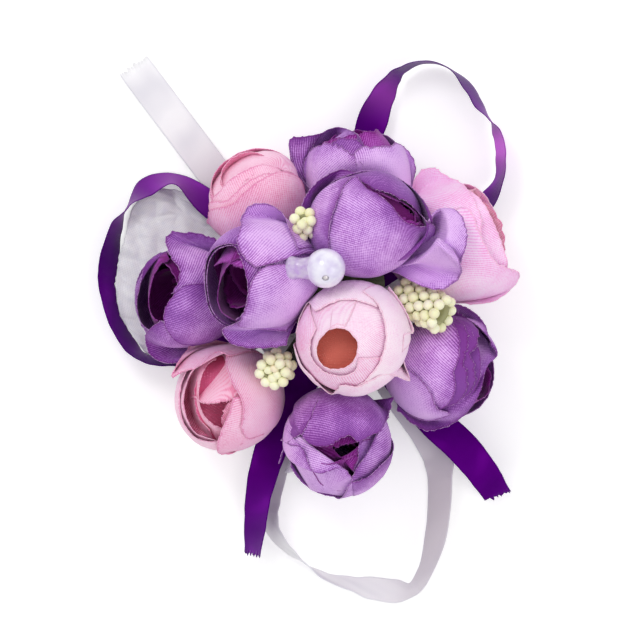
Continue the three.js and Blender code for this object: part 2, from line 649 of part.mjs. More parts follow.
// Organza: a gathered fan, from its gather out to its cut edge, crinkled across the fan and
// pressed clear of the buds and stems above it
const fans = {
  left_organza: {
    held: bowHeight, gatherShares: [-0.38, 0.07], from: 124, to: 206, levelShare: 0.1,
    reachShares: [0.46, 0.7, 0.76, 0.76, 0.7],
  },
  lower_organza: {
    held: tailHeight, gatherShares: [0, -0.42], from: 242, to: 296, levelShare: 0.12,
    reachShares: [0.58, 0.5, 0.45, 0.5, 0.6],
  },
};
const fanGatherShare = 0.12;
for (const [name, fan] of Object.entries(fans)) {
  const edgeShares = new THREE.CatmullRomCurve3(
    fan.reachShares.map((share, index) => new THREE.Vector3(index, share, 0)),
  );
  const gather = placeAt(fan.gatherShares, fan.held + fan.levelShare * ribbonWidth);
  const cloth = (across, along) => {
    const angle = degrees(blend(fan.from, fan.to, across));
    const reach = clusterRadius * blend(fanGatherShare, edgeShares.getPoint(across).y, along);
    const crinkle = organzaCrinkleHeight * along * Math.sin((fanSteps.around * Math.PI * across) / 2);
    return new THREE.Vector3(reach * Math.cos(angle), reach * Math.sin(angle), crinkle).add(gather);
  };
  const whole = toSolid(sheet(cloth, fanSteps.around, fanSteps.out, organzaThickness));
  const clear = cutBy(whole, [...Object.values(rooms), ...stemRooms]);
  addPiece(name, toGeometry(mainPiece(clear)), "organza");
}

// The felt pad, with its cut edge slightly rounded
addPiece("back_pad", turned([
  [0, 0], [padRadius - padBevel, 0], [padRadius, padBevel], [padRadius, padThickness - padBevel],
  [padRadius - padBevel, padThickness], [0, padThickness],
], padSides), "felt");

export default group;
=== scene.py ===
import math

import bpy
import numpy as np
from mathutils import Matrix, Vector


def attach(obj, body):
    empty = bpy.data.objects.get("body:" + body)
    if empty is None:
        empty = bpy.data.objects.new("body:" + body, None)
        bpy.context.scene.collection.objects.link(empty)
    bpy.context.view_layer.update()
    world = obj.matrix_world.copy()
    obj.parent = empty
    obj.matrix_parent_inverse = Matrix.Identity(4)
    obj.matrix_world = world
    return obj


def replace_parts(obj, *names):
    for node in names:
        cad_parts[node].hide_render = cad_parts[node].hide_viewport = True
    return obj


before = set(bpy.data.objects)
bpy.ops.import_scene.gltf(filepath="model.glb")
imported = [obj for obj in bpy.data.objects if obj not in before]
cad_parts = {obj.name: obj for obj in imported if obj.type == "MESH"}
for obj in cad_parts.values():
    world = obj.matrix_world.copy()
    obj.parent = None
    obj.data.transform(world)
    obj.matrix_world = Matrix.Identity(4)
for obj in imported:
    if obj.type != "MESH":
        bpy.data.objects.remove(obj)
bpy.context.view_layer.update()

# Sizes shared by the pieces, in metres, as in the solid model
budRoom = 0.01475
spray = {
    "budRadius": 0.0135,
    "budLength": 0.032,
    "layerStep": 0.00105,
    "fitGap": 0.0003,
    "ribbonWidth": 0.010,
    "clusterRadius": 3.695 * budRoom,
    "bowHeight": 0.0029,
    "tieHeight": 0.00205,
    "tailHeight": 0.00375,
    "bundleFoot": 0.0043,
    "bundleRadius": 0.015,
    "bundleHeight": 0.011,
    "ringLean": 34,
    "ringGap": 0.00267,
    "crownRise": 1.39 * budRoom,
    "pearlRise": 0.949 * budRoom,
}
lean = math.radians(spray["ringLean"])
spray["ringHeight"] = spray["bowHeight"] + spray["ringGap"] + math.hypot(
    spray["budLength"] / 2 * math.sin(lean), spray["budRadius"] * math.cos(lean))
spray["crownHeight"] = spray["ringHeight"] + spray["crownRise"]
spray["pearlHeight"] = spray["crownHeight"] + spray["pearlRise"]


def blend(low, high, share):
    return low + (high - low) * share


def smooth(share):
    share = np.clip(share, 0, 1)
    return share * share * (3 - 2 * share)


def direction(plan, tilt):
    plan, tilt = math.radians(plan), math.radians(tilt)
    return np.array([math.cos(tilt) * math.cos(plan), math.cos(tilt) * math.sin(plan), math.sin(tilt)])


def placeAt(xShare, yShare, height):
    return np.array([xShare * spray["clusterRadius"], yShare * spray["clusterRadius"], height])


def overGrid(values, rows=None, columns=None):
    # one row or column of values, repeated over a whole grid
    values = np.asarray(values)
    return values[None, :] * np.ones((rows, 1)) if rows else values[:, None] * np.ones((1, columns))


def ripple(seed, size, count=6, reach=3.0):
    # a smooth wander along a line from 0 to 1, made of a few sine waves
    turn = np.random.default_rng(seed)
    waves = [(turn.uniform(0.4, 1), turn.uniform(0.6, reach * (k + 1)), turn.uniform(0, 6.28))
             for k in range(count)]
    total = sum(a for a, _, _ in waves)
    return lambda x: size * sum(a * np.sin(2 * math.pi * f * x + p) for a, f, p in waves) / total


def fray(seed, size, count):
    # small ragged teeth along a cut edge
    teeth = np.random.default_rng(seed).uniform(0, 1, count + 2) ** 2
    return lambda x: size * np.interp(np.clip(x, 0, 1) * count, np.arange(count + 2), teeth)


def curveThrough(stops, count):
    # an even walk through the stops, with the turn at each one eased by its spacing
    stops = np.asarray(stops, float)
    ends = np.vstack([2 * stops[0] - stops[1], stops, 2 * stops[-1] - stops[-2]])
    places, headings = [], []
    for t in np.linspace(0, 1, count) * (len(stops) - 1):
        k = min(int(t), len(stops) - 2)
        w = t - k
        p = ends[k:k + 4]
        d = [max(np.linalg.norm(p[i + 1] - p[i]) ** 0.5, 1e-6) for i in range(3)]
        inTurn = ((p[1] - p[0]) / d[0] - (p[2] - p[0]) / (d[0] + d[1]) + (p[2] - p[1]) / d[1]) * d[1]
        outTurn = ((p[2] - p[1]) / d[1] - (p[3] - p[1]) / (d[1] + d[2]) + (p[3] - p[2]) / d[2]) * d[1]
        a = 2 * p[1] - 2 * p[2] + inTurn + outTurn
        b = -3 * p[1] + 3 * p[2] - 2 * inTurn - outTurn
        places.append(a * w ** 3 + b * w * w + inTurn * w + p[1])
        headings.append(3 * a * w * w + 2 * b * w + inTurn)
    return np.array(places), np.array(headings)


# Materials

class Nodes:
    # short ways to add and join the nodes of a material or the world
    def __init__(self, owner):
        self.tree = owner.node_tree
        self.shader = self.tree.nodes.get("Principled BSDF")

    def add(self, kind, **values):
        node = self.tree.nodes.new(kind)
        for key, value in values.items():
            if hasattr(node, key):
                setattr(node, key, value)
            else:
                node.inputs[key].default_value = value
        return node

    def link(self, output, socket):
        self.tree.links.new(output, socket)

    def feed(self, socket, value):
        # a socket takes a plain value, a colour, or what another node gives
        if isinstance(value, tuple):
            socket.default_value = (*value, 1)
        elif isinstance(value, (int, float)):
            socket.default_value = value
        else:
            self.link(value, socket)

    def maths(self, operation, first, second):
        node = self.add("ShaderNodeMath", operation=operation)
        self.feed(node.inputs[0], first)
        self.feed(node.inputs[1], second)
        return node.outputs[0]

    def scaled(self, value, share):
        return self.maths("MULTIPLY", value, share)

    def mix(self, factor, first, second):
        node = self.add("ShaderNodeMix", data_type="RGBA")
        for socket, value in zip((0, 6, 7), (factor, first, second)):
            self.feed(node.inputs[socket], value)
        return node.outputs[2]

    def ramp(self, value, stops):
        # each stop is its place and a colour as read off a screen
        node = self.add("ShaderNodeValToRGB")
        ramp = node.color_ramp
        while len(ramp.elements) < len(stops):
            ramp.elements.new(0.5)
        for element, (place, colour) in zip(ramp.elements, stops):
            element.position = place
            element.color = (*linear(*colour), 1)
        self.link(value, node.inputs[0])
        return node.outputs[0]

    def attribute(self, name):
        return self.add("ShaderNodeAttribute", attribute_name=name).outputs["Fac"]

    def place(self):
        return self.add("ShaderNodeNewGeometry").outputs["Position"]

    def cloth(self):
        return self.add("ShaderNodeUVMap", uv_map="cloth").outputs[0]

    def noise(self, vector, scale, detail):
        node = self.add("ShaderNodeTexNoise", Scale=scale, Detail=detail)
        self.link(vector, node.inputs["Vector"])
        return node.outputs["Fac"]

    def wave(self, vector, scale, way, wander):
        node = self.add("ShaderNodeTexWave", bands_direction=way, Scale=scale, Distortion=wander)
        self.link(vector, node.inputs["Vector"])
        return node.outputs["Fac"]

    def threads(self, cloth, pitch, way, wander=0.0):
        # bands over the cloth, at a pitch in millimetres
        return self.wave(cloth, math.pi / 10 / pitch, way, wander)

    def colour(self, output):
        self.link(output, self.shader.inputs["Base Color"])

    def bump(self, height, strength, depth):
        bump = self.add("ShaderNodeBump", Strength=strength, Distance=depth)
        self.link(height, bump.inputs["Height"])
        self.link(bump.outputs[0], self.shader.inputs["Normal"])

    def settings(self, values):
        for socket, value in values.items():
            self.shader.inputs[socket].default_value = value

    def seenRay(self):
        # 1 where the camera, a reflection or a clear piece sees this, 0 where it lights the object
        rays = self.add("ShaderNodeLightPath").outputs
        return self.maths("MAXIMUM", rays["Is Camera Ray"],
                          self.maths("MAXIMUM", rays["Is Glossy Ray"], rays["Is Transmission Ray"]))


def linear(red, green, blue):
    # a colour as read off a screen, 0 to 255
    return tuple((c / 255 / 12.92) if c <= 10 else ((c / 255 + 0.055) / 1.055) ** 2.4
                 for c in (red, green, blue))


def newMaterial(name, colour, roughness):
    material = bpy.data.materials.new(name)
    material.use_nodes = True
    material.diffuse_color = (*colour, 1)
    n = Nodes(material)
    n.settings({"Base Color": (*colour, 1), "Roughness": roughness})
    return material, n


petalCloth = {
    "ribPitch": 0.66, "crossPitch": 0.52, "threadWander": 0.8, "ribShare": 0.68, "paintedRibShade": 0.85,
    "slubScale": 1.5, "slubContrast": 0.9, "cloudScale": 150, "cloudContrast": 1.0,
    "drift": 0.3, "driftScale": 70, "wearScale": 1.6, "stain": (2.0, 0.5, 0.6), "bare": (1.0, 0.46, 0.5),
    "weaveDepth": 0.7, "bumpDepth": 0.0001, "roughness": 0.66,
    "settings": {"Sheen Weight": 0.15, "Sheen Roughness": 0.4, "Specular IOR Level": 0.3}}
# light, middle and deep dye, then the stained edge, its bare threads, and the hue it drifts to; the hearts'
# colours are deeper, partly dye and partly painted shade of the hollow inside the bud
petalDyes = {
    "purple_petal": [(240, 196, 248), (192, 122, 210), (118, 26, 134), (112, 22, 122), (228, 186, 238),
                     (168, 134, 224)],
    "purple_heart": [(194, 96, 204), (142, 18, 146), (112, 0, 106), (112, 10, 118), (184, 92, 190),
                     (116, 10, 120)],
    "pink_petal": [(252, 212, 236), (244, 166, 208), (204, 84, 146), (226, 120, 172), (252, 214, 232),
                   (250, 170, 186)],
    "pale_petal": [(255, 240, 250), (248, 204, 236), (236, 140, 182), (246, 184, 212), (255, 240, 248),
                   (252, 190, 224)],
    "blush_petal": [(255, 232, 252), (252, 194, 242), (240, 136, 200), (250, 184, 220), (255, 238, 250),
                    (252, 190, 236)],
    "salmon_heart": [(255, 206, 214), (252, 168, 160), (206, 96, 82), (236, 132, 140), (255, 214, 224),
                     (250, 150, 130)],
    "rose_heart": [(255, 206, 230), (246, 156, 194), (196, 70, 120), (228, 120, 168), (255, 214, 232),
                   (250, 160, 180)],
}


def petalMaterial(name, light, middle, deep, edge, thread, drift):
    # light belly, deeper towards the lip; deeper in the folds and the heart through each petal's tone, partly
    # dye and partly painted shade; a dyed cut edge with pale threads
    look = petalCloth
    material, n = newMaterial(name, linear(*middle), look["roughness"])
    cloth, place = n.cloth(), n.place()
    ribs = n.threads(cloth, look["ribPitch"], "X", look["threadWander"])
    cross = n.threads(cloth, look["crossPitch"], "Y", look["threadWander"])
    weave = n.maths("ADD", n.scaled(ribs, look["ribShare"]), n.scaled(cross, 1 - look["ribShare"]))
    slubs = n.noise(cloth, look["slubScale"], 3)
    clouds = n.noise(place, look["cloudScale"], 2)
    tone = n.attribute("tone")
    # clouds and slubs vary the tone at random; the weave's ribs add painted shade in the hollows between
    # threads and painted highlight on their crests
    for part, share in ((clouds, look["cloudContrast"]), (slubs, look["slubContrast"]),
                        (weave, -look["paintedRibShade"])):
        tone = n.maths("ADD", tone, n.scaled(n.maths("SUBTRACT", part, 0.5), share))
    threads = n.ramp(tone, [(0.0, light), (0.5, middle), (1.0, deep)])
    threads = n.mix(n.scaled(n.noise(place, look["driftScale"], 1), look["drift"]), threads, linear(*drift))
    rim, worn = n.attribute("rim"), n.noise(cloth, look["wearScale"], 3)
    for (reach, start, share), dye in ((look["stain"], edge), (look["bare"], thread)):
        frayed = n.maths("LESS_THAN", rim, n.maths("SUBTRACT", n.scaled(worn, reach), start))
        threads = n.mix(n.scaled(frayed, share), threads, linear(*dye))
    n.colour(threads)
    n.bump(weave, look["weaveDepth"], look["bumpDepth"])
    n.settings(look["settings"])
    return material


petalCloths = {name: petalMaterial(name + "_cloth", *dyes) for name, dyes in petalDyes.items()}

satin = {"ribPitch": 0.32, "threadWander": 0.4, "ribDepth": 0.25, "bumpDepth": 0.00006, "cloudScale": 0.07,
         "ribShade": 0.25, "selvedge": 0.45, "selvedgeShade": 0.5, "gloss": 0.4, "specular": 0.1,
         "sheen": 0.01, "sheenRoughness": 0.3}


def satinMaterial(name, colour, deep, lustre, paintedLightAndShade):
    # the weft lies across the ribbon, with a firm selvedge down each edge
    material, n = newMaterial(name, linear(*colour), satin["gloss"])
    cloth = n.cloth()
    weft = n.threads(cloth, satin["ribPitch"], "Y", satin["threadWander"])
    body = n.ramp(n.noise(cloth, satin["cloudScale"], 1), [(0.25, deep), (0.55, colour), (0.85, lustre)])
    # the tone mark mixes in painted light along the ribbon: a painted highlight on the purple satin, painted
    # shade on the white
    lit = n.mix(n.attribute("tone"), body, linear(*paintedLightAndShade))
    threads = n.mix(n.scaled(n.maths("SUBTRACT", 1, weft), satin["ribShade"]), lit, linear(*deep))
    selvedge = n.scaled(n.maths("LESS_THAN", n.attribute("rim"), satin["selvedge"]), satin["selvedgeShade"])
    n.colour(n.mix(selvedge, threads, linear(*deep)))
    n.bump(weft, satin["ribDepth"], satin["bumpDepth"])
    tint = (*linear(*lustre), 1)
    n.settings({"Specular IOR Level": satin["specular"], "Sheen Weight": satin["sheen"],
                "Sheen Roughness": satin["sheenRoughness"], "Sheen Tint": tint, "Specular Tint": tint})
    return material


# each satin's last colour is its painted light: a painted highlight on the purple, painted shade on the white
satins = {
    "purple": satinMaterial("purple_satin_ribbon", (92, 0, 128), (72, 0, 106), (140, 16, 180), (238, 112, 252)),
    "white": satinMaterial("white_satin_ribbon", (252, 251, 253), (226, 225, 232), (255, 255, 255),
                           (206, 196, 202)),
}

organza = {"netPitch": 0.5, "threadCover": 0.2, "cover": 0.7, "crushScale": 0.13, "crushBend": (5, 5, 0),
           "bendScale": 0.3, "creaseSlope": 5.0, "cloudScale": 0.5, "cloudDepth": 0.3, "bump": 0.45,
           "bumpDepth": 0.0005, "roughness": 0.3, "thickness": 0.0002}


def organzaMaterial():
    # a sheer crisp net: threads both ways, and pale creases where it is crushed
    material, n = newMaterial("white_organza", linear(236, 238, 246), organza["roughness"])
    cloth = n.cloth()
    net = n.maths("MAXIMUM", *(n.threads(cloth, organza["netPitch"], way) for way in "XY"))
    crush = n.add("ShaderNodeTexVoronoi", feature="DISTANCE_TO_EDGE", Scale=organza["crushScale"])
    bent = n.add("ShaderNodeVectorMath", operation="MULTIPLY_ADD")
    wander = n.add("ShaderNodeTexNoise", Scale=organza["bendScale"], Detail=3.0)
    n.link(wander.outputs["Color"], bent.inputs[0])
    bent.inputs[1].default_value = organza["crushBend"]
    n.link(cloth, bent.inputs[2])
    n.link(bent.outputs[0], crush.inputs["Vector"])
    crease = n.maths("MINIMUM", n.scaled(crush.outputs["Distance"], organza["creaseSlope"]), 1.0)
    clouds = n.noise(cloth, organza["cloudScale"], 4)
    n.colour(n.ramp(clouds, [(0.3, (246, 247, 252)), (0.5, (253, 253, 255)), (0.68, (255, 255, 255))]))
    n.link(n.maths("ADD", n.scaled(net, organza["threadCover"]), organza["cover"]), n.shader.inputs["Alpha"])
    crushed = n.maths("ADD", crease, n.scaled(clouds, organza["cloudDepth"]))
    n.bump(crushed, organza["bump"], organza["bumpDepth"])
    n.settings({"Sheen Weight": 0.6, "Sheen Roughness": 0.5})
    return material


tape = {"woundScale": 60, "woundWander": 4, "crepeScale": 2200, "bump": 0.6, "bumpDepth": 0.0003}


def tapeMaterial():
    material, n = newMaterial("olive_stem_tape", linear(62, 66, 44), 0.6)
    place = n.place()
    wound = n.wave(place, tape["woundScale"], "DIAGONAL", tape["woundWander"])
    crepe = n.noise(place, tape["crepeScale"], 3)
    n.colour(n.ramp(n.scaled(wound, crepe), [(0.05, (36, 42, 24)), (0.6, (88, 96, 58))]))
    n.bump(n.maths("ADD", wound, crepe), tape["bump"], tape["bumpDepth"])
    return material


starch = {"blushScale": 160, "blush": 0.3, "grainScale": 2600, "bump": 0.35, "bumpDepth": 0.0001}


def pipMaterial():
    material, n = newMaterial("cream_pips", linear(238, 236, 196), 0.42)
    place = n.place()
    blush = n.noise(place, starch["blushScale"], 1)
    # the last, olive stop is for the core: partly the stems' colour and partly painted shade of the hollow
    cream = n.ramp(n.attribute("tone"), [(0.0, (252, 251, 226)), (0.6, (240, 239, 196)),
                                         (0.9, (252, 224, 214)), (1.0, (150, 148, 100))])
    n.colour(n.mix(n.scaled(blush, starch["blush"]), cream, linear(236, 236, 184)))
    n.bump(n.noise(place, starch["grainScale"], 2), starch["bump"], starch["bumpDepth"])
    n.settings({"Subsurface Weight": 0.15, "Subsurface Radius": (0.0012, 0.001, 0.0006)})
    return material


# Plain stuffs: their noise, its colours, the bump it gives, and the rest of the shader's values
stuffs = {
    "pearl_lacquer": {
        "colour": (228, 224, 242), "roughness": 0.22, "noise": (260, 2), "bump": (0.06, 0.0001),
        "ramp": [(0.3, (242, 240, 249)), (0.5, (230, 226, 243)), (0.7, (214, 204, 234))],
        "settings": {"Coat Weight": 0.8, "Coat Roughness": 0.08}},
    "clear_glue": {
        "colour": (214, 190, 236), "roughness": 0.16, "noise": (500, 3), "bump": (0.2, 0.0003),
        "ramp": [(0.35, (206, 176, 232)), (0.65, (232, 218, 244))],
        "settings": {"Alpha": 0.72, "Coat Weight": 0.6}},
    "bright_wire": {
        "colour": (196, 196, 190), "roughness": 0.3, "noise": (1800, 2),
        "ramp": [(0.3, (206, 200, 200)), (0.7, (240, 234, 234))], "settings": {"Metallic": 0.6}},
    "white_felt": {
        "colour": (236, 234, 236), "roughness": 0.95, "noise": (1500, 6), "bump": (0.9, 0.0003),
        "ramp": [(0.3, (214, 212, 215)), (0.7, (243, 241, 243))], "settings": {"Sheen Weight": 0.5}},
}


def stuffMaterial(name):
    stuff = stuffs[name]
    material, n = newMaterial(name, linear(*stuff["colour"]), stuff["roughness"])
    grain = n.noise(n.place(), *stuff["noise"])
    n.colour(n.ramp(grain, stuff["ramp"]))
    if "bump" in stuff:
        n.bump(grain, *stuff["bump"])
    n.settings(stuff["settings"])
    return material


organzaNet, stemTape, creamPips = organzaMaterial(), tapeMaterial(), pipMaterial()
pearlLacquer, clearGlue, brightWire, whiteFelt = (stuffMaterial(name) for name in stuffs)
print("materials made")


# Meshes

def newPiece(name, points, faces, material, uv=None, marks=None):
    mesh = bpy.data.meshes.new(name)
    mesh.from_pydata(np.asarray(points).tolist(), [], faces)
    mesh.polygons.foreach_set("use_smooth", [True] * len(faces))
    if uv is not None:
        corners = np.empty(len(mesh.loops), np.int32)
        mesh.loops.foreach_get("vertex_index", corners)
        mesh.uv_layers.new(name="cloth").data.foreach_set("uv", np.asarray(uv, np.float32)[corners].ravel())
    for key, values in (marks or {}).items():
        mark = mesh.attributes.new(key, "FLOAT", "POINT")
        mark.data.foreach_set("value", np.asarray(values, np.float32).ravel())
    mesh.materials.append(material)
    mesh.update()
    piece = bpy.data.objects.new(name, mesh)
    bpy.context.scene.collection.objects.link(piece)
    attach(piece, "root")
    return piece


def gridFaces(rows, columns, first=0):
    starts = [first + row * columns + k for row in range(rows - 1) for k in range(columns - 1)]
    return [(start, start + 1, start + columns + 1, start + columns) for start in starts]


def clothUv(points):
    # millimetres of cloth along each way of the grid
    points = np.asarray(points) * 1000
    alongStep = np.linalg.norm(np.diff(points, axis=0), axis=2)
    acrossStep = np.linalg.norm(np.diff(points, axis=1), axis=2)
    along = np.vstack([np.zeros((1, points.shape[1])), np.cumsum(alongStep, axis=0)])
    across = np.hstack([np.zeros((points.shape[0], 1)), np.cumsum(acrossStep, axis=1)])
    across -= across[:, across.shape[1] // 2][:, None]
    return np.dstack([across, along])


def joinGrids(name, grids, material, thickness):
    # several cloth grids in one piece, each with its own weave and marks
    faces, first = [], 0
    for grid in grids:
        rows, columns = grid["points"].shape[:2]
        faces += gridFaces(rows, columns, first)
        first += rows * columns
    points = np.vstack([grid["points"].reshape(-1, 3) for grid in grids])
    uvs = np.vstack([grid["uv"].reshape(-1, 2) for grid in grids])
    marks = {key: np.concatenate([grid[key].ravel() for grid in grids]) for key in ("rim", "tone")}
    piece = newPiece(name, points, faces, material, uvs, marks)
    cloth = piece.modifiers.new("cloth", "SOLIDIFY")
    cloth.thickness = thickness
    cloth.offset = 0
    return piece


def flatSize(grids):
    # the cloth's flat size: its petals side by side by the longest of them, and what they cover
    area, width, length = 0.0, 0.0, 0.0
    for grid in grids:
        p = grid["points"]
        a, b = p[1:, :-1] - p[:-1, :-1], p[:-1, 1:] - p[:-1, :-1]
        area += np.linalg.norm(np.cross(a, b), axis=2).sum()
        width += np.ptp(grid["cut"][:, :, 0]) / 1000
        length = max(length, np.ptp(grid["cut"][:, :, 1]) / 1000)
    flat = (float(width), float(length))
    return flat, min(float(area), flat[0] * flat[1])
